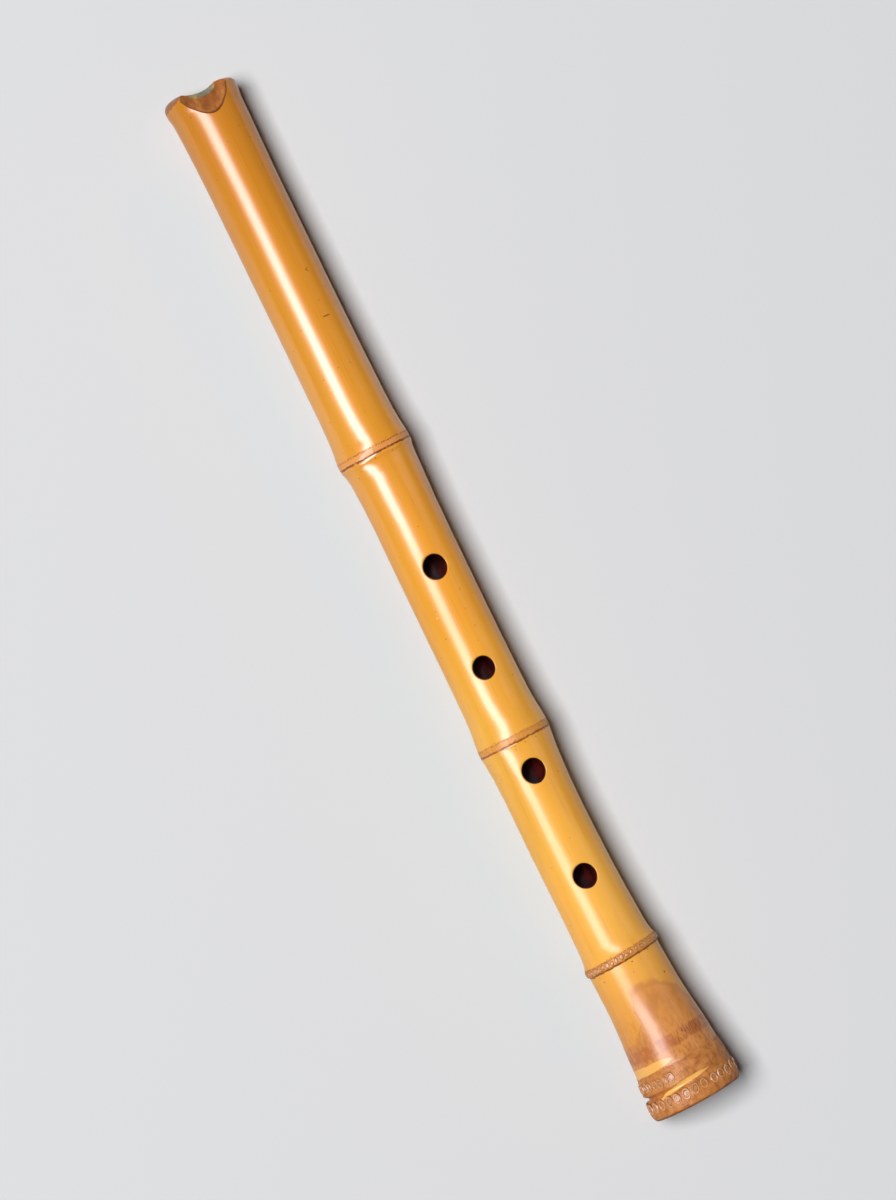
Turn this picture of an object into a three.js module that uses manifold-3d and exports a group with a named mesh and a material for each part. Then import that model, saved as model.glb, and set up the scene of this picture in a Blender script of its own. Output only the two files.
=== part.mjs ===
// A shakuhachi of one length of bamboo: an end-blown flute cut from the root end of the culm.
// Millimetres. Each piece is drawn along +Y, from the root end up to the mouth, with the finger
// holes on +Z and the player's left on +X. The whole flute is then laid on its back, mouth to +X.
import * as THREE from "three";
import { mergeVertices } from "three/addons/utils/BufferGeometryUtils.js";
import Module from "manifold-3d";

// The culm
const LENGTH = 545; // one shaku eight sun, from root end to blowing edge
const HALF_BREADTH = 17.2; // of a plain stretch between two nodes
const DEPTH_SHARE = 0.955; // a culm is a little flatter from front to back
const SIDE_DRIFT = 2.4; // of the root end's middle from a straight line
const CULM_SIDES = 30;

// The bore: a cone that narrows towards the lowest hole and opens again at the root end. Each
// wall is measured from the outside of a plain stretch in to the air.
const MOUTH_WALL = 7;
const CHOKE_WALL = 9.3;
const ROOT_WALL = 7.9;
const MOUTH_BORE_RADIUS = HALF_BREADTH - MOUTH_WALL;
const CHOKE_BORE_RADIUS = HALF_BREADTH - CHOKE_WALL;
const ROOT_BORE_RADIUS = HALF_BREADTH - ROOT_WALL;
const BORE_SIDES = 16;
const BORE_STEP = 55; // the longest straight stretch of bore

// The coats inside the culm, from the air outwards
const LACQUER_THICKNESS = 0.5;
const PASTE_THICKNESS = 1.4;
const SEAT_GAP = 0.3; // left between two pieces that lie against each other
const BARE_MOUTH_LENGTH = 8; // of bore above the lacquer, left to the blowing edge
const PASTE_STOP_BELOW_MOUTH = 30;
const HALF_DIAPHRAGM = 3.5; // of the drilled wall that is left inside each node

// The finger holes, as radii of the open hole
const FRONT_HOLE_RADIUS = 5.1;
const SMALL_HOLE_RADIUS = 4.7; // the third hole, and the thumb hole behind
const HOLE_UNDERCUT = 0.5; // how much wider a hole is at the bore
const HOLE_LENGTH_SHARE = 1.06; // a filed hole is a little longer than it is wide
const HOLE_SIDES = 16;

// The mouth
const RIM_INSET = 5.2; // of the worn rim, measured across the flute
const RIM_DROP = 3; // and along it
const BLOWING_CUT_LENGTH = 14.5; // of the slanting cut, down the front
const BLOWING_CUT_RADIUS = 32; // of its hollow face, across the slope
const BLOWING_CUT_SIDES = 36;
const BLOWING_CUT_TURN = 3.5; // degrees from the line of the finger holes
const EDGE_DIP = 2.2; // of the blowing edge below the rim on each side
const EDGE_HALF_BREADTH = 9; // of the shallow arc filed into it
const EDGE_HOLLOW_SIDES = 32;
const CHIN_DROP = 4; // of the rim at the back, where the chin rests
const INLAY_HALF_BREADTH = 7;
const INLAY_HEIGHT = 3;
const INLAY_DEPTH = 3;
const INLAY_ARC_STEPS = 8;

// The root end
const GROOVE_HALF_WIDTH = 1.7; // between the two rings of root stubs
const GROOVE_DEPTH = 3;
const GROOVE_OFFSET = 3.2; // of its circle to the right, so that only the left side is cut
const STUB = { halfBreadth: 1.75, halfLength: 2.35, rise: 0.5, root: 1.5 };
const BUD = { halfBreadth: 1.45, halfLength: 1.7, rise: 0.5, root: 1.5 };
const STUB_TOP_SHARE = 0.7; // a stub narrows to its cut face
const STUB_SIDES = 6;

const CUT_OVERRUN = 6; // how far a cutting body stands past what it cuts
const MERGE_TOLERANCE = 1e-4;
const RIM_STEPS = 3;

// The culm's outline without its ridges: share of the length, share of the half breadth
const OUTLINE_SHARES = [
  [0, 1.32], [0.003, 1.375], [0.009, 1.395], [0.016, 1.35], [0.033, 1.335],
  [0.04, 1.275], [0.062, 1.23], [0.088, 1.145], [0.105, 1.12], [0.135, 1.1],
  [0.172, 1.03], [0.225, 0.992], [0.3, 0.98], [0.335, 1.01], [0.36, 1.03],
  [0.385, 1], [0.45, 0.982], [0.575, 0.978], [0.62, 1.02], [0.65, 1.045],
  [0.69, 1.015], [0.8, 1], [0.9, 1], [0.98, 1.05], [0.988, 1.09], [1, 1.09],
];

// The middle line's place to the left or right: share of the length, share of the side drift
const DRIFT_SHARES = [
  [0, 1], [0.046, 0.8], [0.11, 0.25], [0.156, -0.17], [0.275, -0.58],
  [0.35, -0.33], [0.44, -0.21], [0.53, -0.04], [0.62, 0.2], [0.65, 0],
  [0.73, 0.02], [0.86, 0.17], [0.96, 0.29], [1, 0.08],
];

// How far a cross-section leans, as a rise per unit of breadth: share of the length, rise share
const LEAN_SHARES = [
  [0, 0.047], [0.15, 0.08], [0.36, 0.023], [0.64, 0.03], [0.9, 0], [1, -0.05],
];

// The bore's radius between its three named radii: share of the length, share of the way
// from the choke radius to the root radius below it, and to the mouth radius above it
const CHOKE_PLACE_SHARE = 0.2;
const LOWER_BORE_SHARES = [[0, 1], [0.08, 0.45], [0.14, 0.12], [CHOKE_PLACE_SHARE, 0]];
const UPPER_BORE_SHARES = [
  [CHOKE_PLACE_SHARE, 0], [0.35, 0.3], [0.5, 0.6], [0.65, 0.82], [0.85, 0.96], [1, 1],
];

// A node's ridge: share of its half width up or down the culm, share of its height
const RIDGE_SHARES = [[-1.25, 0], [-1, 0.85], [-0.55, 1], [0.45, 0.95], [1, 0.5], [1.6, 0]];

// The nodes, from the root up: where each ridge is, how wide and how proud
const NODES = {
  lower: { placeShare: 0.147, halfWidth: 3.1, height: 1.5 },
  middle: { placeShare: 0.3585, halfWidth: 2.4, height: 0.85 },
  upper: { placeShare: 0.6415, halfWidth: 2.5, height: 1.1 },
};

// The rings of root stubs: where each ring is, how many stubs would go right round,
// and the arc that they fill, in degrees from the front towards the right
const ROOT_RINGS = [
  { placeShare: 0.0105, count: 33, from: 0, to: 360 },
  { placeShare: 0.029, count: 31, from: 110, to: 332 },
];
const BUD_RING = { placeShare: NODES.lower.placeShare, count: 24, from: 0, to: 360 };

// The holes, numbered from the root end up: share of the length, radius, and facing
const HOLES = [
  { name: "finger_hole_1_lacquer", placeShare: 0.223, radius: FRONT_HOLE_RADIUS, facing: 1 },
  { name: "finger_hole_2_lacquer", placeShare: 0.3262, radius: FRONT_HOLE_RADIUS, facing: 1 },
  { name: "finger_hole_3_lacquer", placeShare: 0.4274, radius: SMALL_HOLE_RADIUS, facing: 1 },
  { name: "finger_hole_4_lacquer", placeShare: 0.5265, radius: FRONT_HOLE_RADIUS, facing: 1 },
  { name: "thumb_hole_lacquer", placeShare: 0.571, radius: SMALL_HOLE_RADIUS, facing: -1 },
];

const bamboo = new THREE.MeshStandardMaterial({ color: 0xd99a3c, roughness: 0.35, metalness: 0 });
const horn = new THREE.MeshStandardMaterial({ color: 0x9aa08a, roughness: 0.3, metalness: 0 });
const paste = new THREE.MeshStandardMaterial({ color: 0x6b5a4a, roughness: 0.8, metalness: 0 });
const lacquer = new THREE.MeshStandardMaterial({ color: 0x4a120c, roughness: 0.25, metalness: 0 });

const wasm = await Module();
wasm.setup();

// Between two rows of a table of shares, in a straight line.
function alongTable(table, share) {
  const last = table.length - 1;
  const next = table.findIndex(([place]) => place > share);
  if (next === 0) return table[0][1];
  if (next < 0) return table[last][1];
  const [[fromPlace, from], [toPlace, to]] = [table[next - 1], table[next]];
  return from + ((share - fromPlace) / (toPlace - fromPlace)) * (to - from);
}

function ridgeAt(y) {
  return Object.values(NODES).reduce((sum, { placeShare, halfWidth, height }) => {
    const reach = (y - placeShare * LENGTH) / halfWidth;
    return sum + height * alongTable(RIDGE_SHARES, reach);
  }, 0);
}

function culmRadiusAt(y) {
  return HALF_BREADTH * alongTable(OUTLINE_SHARES, y / LENGTH) + ridgeAt(y);
}

function boreRadiusAt(y) {
  const share = y / LENGTH;
  const lower = share < CHOKE_PLACE_SHARE;
  const end = lower ? ROOT_BORE_RADIUS : MOUTH_BORE_RADIUS;
  const way = alongTable(lower ? LOWER_BORE_SHARES : UPPER_BORE_SHARES, share);
  return CHOKE_BORE_RADIUS + way * (end - CHOKE_BORE_RADIUS);
}

// The middle line leans back to front so that both ends of the culm lie on one surface.
const ROOT_REST = LENGTH * ROOT_RINGS[0].placeShare;
const MOUTH_REST = LENGTH - RIM_DROP;
function middleAt(y) {
  const climb = (y - ROOT_REST) / (MOUTH_REST - ROOT_REST);
  const rootHeight = culmRadiusAt(ROOT_REST) * DEPTH_SHARE;
  const mouthHeight = culmRadiusAt(MOUTH_REST) * DEPTH_SHARE;
  return {
    x: SIDE_DRIFT * alongTable(DRIFT_SHARES, y / LENGTH),
    z: rootHeight + climb * (mouthHeight - rootHeight),
  };
}

// Carries a body drawn about a straight axis onto the culm's own line, section by section.
function bend(geometry, depthShare = 1) {
  const place = geometry.getAttribute("position");
  for (let i = 0; i < place.count; i++) {
    const [x, y, z] = [place.getX(i), place.getY(i), place.getZ(i)];
    const middle = middleAt(y);
    const rise = x * alongTable(LEAN_SHARES, y / LENGTH);
    place.setXYZ(i, x + middle.x, y + rise, z * depthShare + middle.z);
  }
  return geometry;
}

// A closed geometry as a solid. One that was drawn inside out is turned the right way round.
function solidOf(geometry) {
  const bare = geometry.clone();
  bare.deleteAttribute("normal");
  bare.deleteAttribute("uv");
  const merged = mergeVertices(bare, MERGE_TOLERANCE);
  const vertProperties = new Float32Array(merged.getAttribute("position").array);
  const triVerts = new Uint32Array(merged.index.array);
  const solid = new wasm.Manifold(new wasm.Mesh({ numProp: 3, vertProperties, triVerts }));
  if (solid.volume() > 0) return solid;
  triVerts.reverse();
  return new wasm.Manifold(new wasm.Mesh({ numProp: 3, vertProperties, triVerts }));
}

function meshOf(name, solid, material) {
  const { numProp, vertProperties, triVerts } = solid.getMesh();
  const places = new Float32Array((vertProperties.length / numProp) * 3);
  for (let i = 0; i * numProp < vertProperties.length; i++) {
    places.set(vertProperties.subarray(i * numProp, i * numProp + 3), i * 3);
  }
  const geometry = new THREE.BufferGeometry();
  geometry.setAttribute("position", new THREE.BufferAttribute(places, 3));
  geometry.setIndex(new THREE.BufferAttribute(new Uint32Array(triVerts), 1));
  geometry.computeVertexNormals();
  const mesh = new THREE.Mesh(geometry, material);
  mesh.name = name;
  return mesh;
}

// A body turned about the culm's axis: its outline is a list of [radius, height]. One of its
// sides faces straight forward and another straight back.
function turned(outline, sides, depthShare) {
  const points = outline.map(([radius, y]) => new THREE.Vector2(radius, y));
  return solidOf(bend(new THREE.LatheGeometry(points, sides, Math.PI / sides), depthShare));
}

// The culm's outside, with the worn rim of the mouth as a quarter of an ellipse.
function culmOutside() {
  const places = OUTLINE_SHARES.map(([share]) => share * LENGTH);
  for (const { placeShare, halfWidth } of Object.values(NODES)) {
    for (const [reach] of RIDGE_SHARES) places.push(placeShare * LENGTH + reach * halfWidth);
  }
  const rimStart = LENGTH - RIM_DROP;
  const below = [...new Set(places)].filter((y) => y < rimStart).sort((a, b) => a - b);
  const outline = below.map((y) => [culmRadiusAt(y), y]);
  for (let i = 0; i <= RIM_STEPS; i++) {
    const turn = ((i / RIM_STEPS) * Math.PI) / 2;
    const radius = culmRadiusAt(rimStart) - RIM_INSET * (1 - Math.cos(turn));
    outline.push([radius, rimStart + RIM_DROP * Math.sin(turn)]);
  }
  return turned([[0, 0], ...outline, [0, LENGTH]], CULM_SIDES, DEPTH_SHARE);
}

// The bore grown by a margin, between two heights. All the coats bend at the same heights.
function boreBody(margin, from, to) {
  const places = [from];
  for (let y = 0; y < to; y += BORE_STEP) {
    if (y > from) places.push(y);
  }
  places.push(to);
  const outline = places.map((y) => [boreRadiusAt(y) + margin, y]);
  return turned([[0, from], ...outline, [0, to]], BORE_SIDES, 1);
}

// A finger hole grown by a margin: a cone from past the culm's skin down to the bore's middle.
function holeBody({ placeShare, radius, facing }, margin) {
  const y = placeShare * LENGTH;
  const height = HALF_BREADTH + CUT_OVERRUN;
  const geometry = new THREE.CylinderGeometry(
    radius + margin,
    radius + margin + (HOLE_UNDERCUT * height) / (HALF_BREADTH - boreRadiusAt(y)),
    height,
    HOLE_SIDES,
  );
  const middle = middleAt(y);
  geometry.translate(0, height / 2, 0);
  geometry.rotateX((facing * Math.PI) / 2);
  geometry.scale(1, HOLE_LENGTH_SHARE, 1);
  geometry.translate(middle.x, y, middle.z);
  return solidOf(geometry);
}

// The slope of the blowing cut, as a frame: +Y up the slope towards the mouth, +Z out of the cut
// face, and its origin on the lowest point of the blowing edge.
function blowingCutFrame() {
  const middle = middleAt(LENGTH);
  const bore = boreRadiusAt(LENGTH);
  const front = culmRadiusAt(LENGTH - BLOWING_CUT_LENGTH) * DEPTH_SHARE;
  const slope = Math.atan2(front - bore, BLOWING_CUT_LENGTH - EDGE_DIP);
  return new THREE.Matrix4()
    .makeTranslation(middle.x, LENGTH - EDGE_DIP, middle.z)
    .multiply(new THREE.Matrix4().makeRotationY(THREE.MathUtils.degToRad(BLOWING_CUT_TURN)))
    .multiply(new THREE.Matrix4().makeTranslation(0, 0, bore))
    .multiply(new THREE.Matrix4().makeRotationX(-slope));
}

// The cut face is straight down the slope and slightly hollow across it.
function blowingCut() {
  const length = 2 * (BLOWING_CUT_LENGTH + HALF_BREADTH);
  const geometry = new THREE.CylinderGeometry(
    BLOWING_CUT_RADIUS, BLOWING_CUT_RADIUS, length, BLOWING_CUT_SIDES,
  );
  geometry.translate(0, 0, BLOWING_CUT_RADIUS);
  return solidOf(geometry.applyMatrix4(blowingCutFrame()));
}

// The edge between the two horns of the blowing cut is filed to a shallow arc.
function edgeHollow() {
  const middle = middleAt(LENGTH);
  const radius = (EDGE_HALF_BREADTH ** 2 + EDGE_DIP ** 2) / (2 * EDGE_DIP);
  const depth = HALF_BREADTH + CUT_OVERRUN;
  const geometry = new THREE.CylinderGeometry(radius, radius, depth, EDGE_HOLLOW_SIDES);
  geometry.rotateX(Math.PI / 2);
  geometry.translate(middle.x, LENGTH - EDGE_DIP + radius, middle.z + depth / 2);
  return solidOf(geometry);
}

// The chin's side of the rim slopes down from the middle of the bore to the back.
function chinCut() {
  const size = 2 * (HALF_BREADTH + CUT_OVERRUN);
  const middle = middleAt(LENGTH);
  const slope = Math.atan2(CHIN_DROP, culmRadiusAt(LENGTH - RIM_DROP) * DEPTH_SHARE);
  const geometry = new THREE.BoxGeometry(size, size, size);
  geometry.translate(0, size / 2, -size / 2);
  geometry.rotateX(slope);
  return solidOf(geometry.translate(middle.x, LENGTH, middle.z));
}

// A crescent let into the blowing edge: the round side of its outline points down the slope.
function inlayBody(margin) {
  const halfBreadth = INLAY_HALF_BREADTH + margin;
  const height = INLAY_HEIGHT + margin;
  const outline = new THREE.Shape();
  outline.moveTo(-halfBreadth, RIM_DROP);
  for (let i = 0; i <= INLAY_ARC_STEPS; i++) {
    const turn = (i / INLAY_ARC_STEPS) * Math.PI;
    outline.lineTo(-halfBreadth * Math.cos(turn), -height * Math.sin(turn));
  }
  outline.lineTo(halfBreadth, RIM_DROP);
  const depth = INLAY_DEPTH + margin + CUT_OVERRUN;
  const geometry = new THREE.ExtrudeGeometry(outline, { depth, bevelEnabled: false });
  geometry.translate(0, 0, -INLAY_DEPTH - margin);
  return solidOf(geometry.applyMatrix4(blowingCutFrame()));
}

// The groove between the two rings of root stubs, deep on the left and gone on the right.
function rootGroove() {
  const y = ((ROOT_RINGS[0].placeShare + ROOT_RINGS[1].placeShare) / 2) * LENGTH;
  const outer = culmRadiusAt(y) + CUT_OVERRUN;
  const inner = culmRadiusAt(y) - GROOVE_DEPTH + GROOVE_OFFSET;
  const outline = [
    [inner, y], [outer, y - GROOVE_HALF_WIDTH], [outer, y + GROOVE_HALF_WIDTH], [inner, y],
  ];
  return turned(outline, CULM_SIDES, DEPTH_SHARE).translate([GROOVE_OFFSET, 0, 0]);
}

// A ring of cut root stubs around the culm: each narrows to a flat oval face, and its own root
// is sunk in the culm.
function stubRing({ placeShare, count, from, to }, { halfBreadth, halfLength, rise, root }) {
  const y = placeShare * LENGTH;
  const middle = middleAt(y);
  const height = rise + root;
  const foot = halfBreadth * (1 + ((1 - STUB_TOP_SHARE) * root) / rise);
  const reach = culmRadiusAt(y) - root + height / 2;
  const stubs = [];
  for (let i = 0; i < count; i++) {
    const degrees = (i * 360) / count;
    if (degrees < from || degrees > to) continue;
    const turn = THREE.MathUtils.degToRad(degrees);
    const x = reach * Math.sin(turn);
    const geometry = new THREE.CylinderGeometry(
      halfBreadth * STUB_TOP_SHARE, foot, height, STUB_SIDES,
    );
    geometry.rotateX(Math.PI / 2);
    geometry.scale(1, halfLength / halfBreadth, 1);
    geometry.rotateY(turn);
    geometry.translate(x, 0, reach * Math.cos(turn));
    geometry.scale(1, 1, DEPTH_SHARE);
    geometry.translate(middle.x, y + x * alongTable(LEAN_SHARES, placeShare), middle.z);
    stubs.push(solidOf(geometry));
  }
  return stubs;
}

// The hollow that each coat of paste fills, between the walls left at two nodes.
const PASTE_SPANS = [
  { name: "lower_bore_paste", from: NODES.lower, to: NODES.middle },
  { name: "middle_bore_paste", from: NODES.middle, to: NODES.upper },
  { name: "upper_bore_paste", from: NODES.upper, to: null },
].map(({ name, from, to }) => ({
  name,
  start: from.placeShare * LENGTH + HALF_DIAPHRAGM,
  end: to ? to.placeShare * LENGTH - HALF_DIAPHRAGM : LENGTH - PASTE_STOP_BELOW_MOUTH,
}));

const outside = culmOutside();
const air = boreBody(0, -CUT_OVERRUN, LENGTH + CUT_OVERRUN);
const mouthCuts = [blowingCut(), edgeHollow(), chinCut()];
const lacquerTop = LENGTH - BARE_MOUTH_LENGTH;
const lacquerSeat = LACQUER_THICKNESS + SEAT_GAP;
const pasteSeat = lacquerSeat + PASTE_THICKNESS + SEAT_GAP;
const openHoles = HOLES.map((hole) => holeBody(hole, 0));
const lacqueredHoles = HOLES.map((hole) => holeBody(hole, LACQUER_THICKNESS));
const drilledHoles = HOLES.map((hole) => holeBody(hole, lacquerSeat));

function subtractAll(solid, cutters) {
  return cutters.reduce((rest, cutter) => rest.subtract(cutter), solid);
}

function makeCulm() {
  const stubs = [
    ...ROOT_RINGS.flatMap((ring) => stubRing(ring, STUB)),
    ...stubRing(BUD_RING, BUD),
  ];
  const skin = stubs.reduce((sum, stub) => sum.add(stub), outside.subtract(rootGroove()));
  const hollows = PASTE_SPANS.map(({ start, end }) => boreBody(pasteSeat, start, end));
  return subtractAll(skin, [
    air,
    boreBody(lacquerSeat, -CUT_OVERRUN, lacquerTop + SEAT_GAP),
    ...hollows,
    ...drilledHoles,
    ...mouthCuts,
    inlayBody(SEAT_GAP),
  ]);
}

function makeInlay() {
  return subtractAll(outside.intersect(inlayBody(0)), [air, ...mouthCuts]);
}

function makeBoreLacquer() {
  const coat = boreBody(LACQUER_THICKNESS, SEAT_GAP, lacquerTop);
  return subtractAll(coat, [air, ...openHoles]);
}

function makePaste({ start, end }) {
  const coat = boreBody(pasteSeat - SEAT_GAP, start + SEAT_GAP, end - SEAT_GAP);
  const core = boreBody(lacquerSeat, start - CUT_OVERRUN, end + CUT_OVERRUN);
  return subtractAll(coat, [core, ...drilledHoles]);
}

function makeHoleLacquer(index) {
  const core = boreBody(lacquerSeat, -CUT_OVERRUN, LENGTH + CUT_OVERRUN);
  return subtractAll(lacqueredHoles[index].intersect(outside), [openHoles[index], core]);
}

const flute = new THREE.Group();
flute.add(meshOf("bamboo_culm", makeCulm(), bamboo));
flute.add(meshOf("blowing_edge_inlay", makeInlay(), horn));
flute.add(meshOf("bore_lacquer", makeBoreLacquer(), lacquer));
for (const span of PASTE_SPANS) flute.add(meshOf(span.name, makePaste(span), paste));
HOLES.forEach(({ name }, index) => flute.add(meshOf(name, makeHoleLacquer(index), lacquer)));

// Laid on its back, mouth to +X, with the origin under the middle of its box.
flute.rotation.z = -Math.PI / 2;
const laid = new THREE.Group().add(flute);
const box = new THREE.Box3().setFromObject(laid, true);
flute.position.set(-(box.min.x + box.max.x) / 2, -(box.min.y + box.max.y) / 2, -box.min.z);

export default laid;
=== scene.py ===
"""A shakuhachi, an end-blown flute of one length of bamboo, laid on its back on a pale floor.

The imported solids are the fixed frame. Every piece here is made around them, in metres: the flute
lies along X with its mouth towards +X, its finger holes are on top, and the player's left is -Y.
"""

import logging
import math
import random
from collections.abc import Callable, Iterator, Sequence
from contextlib import contextmanager
from dataclasses import dataclass
from enum import Enum, IntEnum

import bmesh
import bpy
import numpy as np
from mathutils import Matrix, Vector, noise


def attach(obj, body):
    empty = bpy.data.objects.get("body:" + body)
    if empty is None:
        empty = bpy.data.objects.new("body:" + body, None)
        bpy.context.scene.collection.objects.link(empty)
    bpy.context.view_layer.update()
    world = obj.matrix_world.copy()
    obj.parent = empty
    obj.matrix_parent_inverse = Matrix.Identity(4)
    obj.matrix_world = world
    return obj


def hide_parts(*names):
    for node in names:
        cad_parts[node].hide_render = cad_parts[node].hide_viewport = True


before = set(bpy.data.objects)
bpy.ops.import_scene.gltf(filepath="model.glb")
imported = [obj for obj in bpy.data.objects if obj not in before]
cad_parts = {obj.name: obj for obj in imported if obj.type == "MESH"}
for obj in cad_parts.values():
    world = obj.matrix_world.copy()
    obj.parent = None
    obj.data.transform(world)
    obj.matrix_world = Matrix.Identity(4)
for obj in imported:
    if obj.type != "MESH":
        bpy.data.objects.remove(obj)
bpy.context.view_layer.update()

LOG = logging.getLogger("shakuhachi")
BODY = "root"
SHEET_MAP = "sheet"
TINY = 1e-6

Colour = tuple[float, float, float, float]
Triple = tuple[float, float, float]
Pair = tuple[float, float]
Line = tuple[Pair, ...]
Socket = bpy.types.NodeSocket
Value = Socket | float
Object = bpy.types.Object


class Slot(Enum):
    """The record's finishes."""

    BAMBOO = "bamboo"
    HORN = "horn"
    PASTE = "paste"
    LACQUER = "lacquer"


class Surface(IntEnum):
    """The material slots of the culm, in their order."""

    SKIN = 0
    CUT = 1
    # The stubs' raised rims and knob tops: paler cut tissue, partly a painted highlight.
    STUB_RIM_AND_HIGHLIGHT = 2
    STUB_HEART = 3
    # The stubs' feet and gaps: dark bark, partly painted shade.
    STUB_BARK_AND_SHADE = 4


class Facing(IntEnum):
    """The side of the culm that a hole opens to."""

    FRONT = 1
    BACK = -1


# Work with meshes


def only(piece: Object) -> None:
    """Selects one object and makes it the active one.

    Args:
        piece: The object.
    """
    bpy.ops.object.select_all(action="DESELECT")
    piece.select_set(True)
    bpy.context.view_layer.objects.active = piece


@contextmanager
def editing(piece: Object, kind: str = "FACE") -> Iterator[None]:
    """Edit mode on one object, with nothing selected at first.

    Args:
        piece: The object that is edited.
        kind: What is selected, VERT, EDGE or FACE.
    """
    only(piece)
    bpy.ops.object.mode_set(mode="EDIT")
    bpy.ops.mesh.select_mode(type=kind)
    bpy.ops.mesh.select_all(action="DESELECT")
    yield
    bpy.ops.object.mode_set(mode="OBJECT")


def pick(piece: Object, kind: str, test: Callable) -> None:
    """Selects, in edit mode, what passes a test, and nothing else.

    Args:
        piece: The object in edit mode.
        kind: verts, edges or faces.
        test: Takes one element and says whether it is selected.
    """
    mesh = bmesh.from_edit_mesh(piece.data)
    bpy.ops.mesh.select_all(action="DESELECT")
    for element in getattr(mesh, kind):
        if test(element):
            element.select_set(True)
    bmesh.update_edit_mesh(piece.data)


def start(primitive: Callable, **settings: object) -> Object:
    """Adds a primitive with nothing else selected.

    Args:
        primitive: The operator that adds it.
        settings: The operator's own settings.

    Returns:
        The new object.
    """
    bpy.ops.object.select_all(action="DESELECT")
    primitive(**settings)
    return bpy.context.object


def extrude(rise: float, scale: float = 1.0, centre: Sequence[float] = (0, 0, 0)) -> None:
    """Extrudes what is selected along Z, and widens the new ring.

    Args:
        rise: How far the ring goes along Z.
        scale: How much wider it gets.
        centre: The place that it widens from.
    """
    bpy.ops.mesh.extrude_region_move(TRANSFORM_OT_translate={"value": (0, 0, rise)})
    bpy.ops.transform.resize(value=(scale, scale, 1), center_override=centre)


def points_of(piece: Object) -> np.ndarray:
    """The places of a mesh's vertices, one row each.

    Args:
        piece: The object with the mesh.

    Returns:
        The places.
    """
    places = np.empty(len(piece.data.vertices) * 3)
    piece.data.vertices.foreach_get("co", places)
    return places.reshape(-1, 3)


def move_points(piece: Object, places: np.ndarray) -> None:
    """Puts a mesh's vertices at new places."""
    piece.data.vertices.foreach_set("co", places.reshape(-1))
    piece.data.update()


def mark_faces(piece: Object, surface: Surface, test: Callable) -> None:
    """Gives faces one of the piece's material slots.

    Args:
        piece: The piece.
        surface: The slot.
        test: Takes a face and says whether it gets the slot.
    """
    for face in piece.data.polygons:
        if test(face):
            face.material_index = surface


def settle(piece: Object) -> Object:
    """Bakes a piece's own place into its mesh.

    Args:
        piece: The piece.

    Returns:
        The same piece.
    """
    only(piece)
    bpy.ops.object.transform_apply(location=True, rotation=True, scale=True)
    return piece


def combine(piece: Object, tool: Object, way: str) -> None:
    """Joins or cuts a closed piece with a closed tool, which is then gone.

    Args:
        piece: The piece that changes.
        tool: The body that is added, taken away or kept in common.
        way: UNION, DIFFERENCE or INTERSECT.
    """
    only(piece)
    bpy.ops.object.modifier_add(type="BOOLEAN")
    change = piece.modifiers[-1]
    change.object = tool
    change.operation = way
    change.solver = "MANIFOLD"
    bpy.ops.object.modifier_apply(modifier=change.name)
    bpy.data.objects.remove(tool)


def point_outwards(piece: Object) -> None:
    """Turns the faces of a closed mesh outwards.

    Args:
        piece: The object with the mesh.
    """
    with editing(piece):
        bpy.ops.mesh.select_all(action="SELECT")
        bpy.ops.mesh.normals_make_consistent(inside=False)


def smooth(piece: Object, degrees: float) -> None:
    """Shades a piece smooth, with an edge wherever it turns by more than an angle."""
    only(piece)
    bpy.ops.object.shade_smooth_by_angle(angle=math.radians(degrees))


def dress(piece: Object, materials: Sequence[bpy.types.Material]) -> None:
    """Fills a piece's material slots, and leaves each face in the slot that it has.

    Args:
        piece: The piece.
        materials: What goes into the slots, in their order.
    """
    slots = piece.data.materials
    while len(slots) < len(materials):
        slots.append(None)
    while len(slots) > len(materials):
        slots.pop()
    for place, material in enumerate(materials):
        slots[place] = material


def blanks() -> list[bpy.types.Material]:
    """A stand-in finish for each surface of the culm, the same ones on every body that joins or cuts it."""
    known = bpy.data.materials
    return [known.get(surface.name) or known.new(surface.name) for surface in Surface]


def ring_body(name: str, rings: Sequence[Pair], sides: int, hollow: bool) -> Object:
    """A body of revolution about Z, made from a circle that is extruded ring by ring.

    Args:
        name: The name of the object.
        rings: The radius and height of each ring, along the outline.
        sides: How many sides each ring has.
        hollow: Whether the last ring closes on the first, as a tube's do. Otherwise both are filled.

    Returns:
        The closed body.
    """
    (radius, height), *others = rings
    fill = "NOTHING" if hollow else "NGON"
    circle = bpy.ops.mesh.primitive_circle_add
    body = settle(start(circle, vertices=sides, radius=radius, fill_type=fill, location=(0, 0, height)))
    body.name = name
    with editing(body, "EDGE"):
        bpy.ops.mesh.select_all(action="SELECT")
        for next_radius, next_height in others:
            extrude(next_height - height, next_radius / radius, (0, 0, next_height))
            radius, height = next_radius, next_height
        if hollow:
            bpy.ops.mesh.select_all(action="SELECT")
            bpy.ops.mesh.remove_doubles(threshold=TINY / 10)
    point_outwards(body)
    return body


# The form of the culm


@dataclass(frozen=True)
class Curve:
    """A smooth line through given points, level past its ends and never past its points."""

    points: Line

    def at(self, places: np.ndarray) -> np.ndarray:
        """The line's height at each place.

        Args:
            places: Where the line is read.

        Returns:
            The heights.
        """
        across, up = np.array(self.points, float).T
        runs = np.diff(across)
        slopes = np.diff(up) / runs
        product, total = slopes[:-1] * slopes[1:], slopes[:-1] + slopes[1:]
        inner = np.divide(2 * product, total, out=np.zeros_like(product), where=product > 0)
        tangents = np.concatenate(([slopes[0]], inner, [slopes[-1]]))
        x = np.clip(places, across[0], across[-1])
        i = np.clip(np.searchsorted(across, x, side="right") - 1, 0, len(runs) - 1)
        t = (x - across[i]) / runs[i]
        rise = up[i + 1] - up[i]
        start, end = tangents[i] * runs[i], tangents[i + 1] * runs[i]
        return up[i] + t * (start + t * (3 * rise - 2 * start - end + t * (start + end - 2 * rise)))


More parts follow.
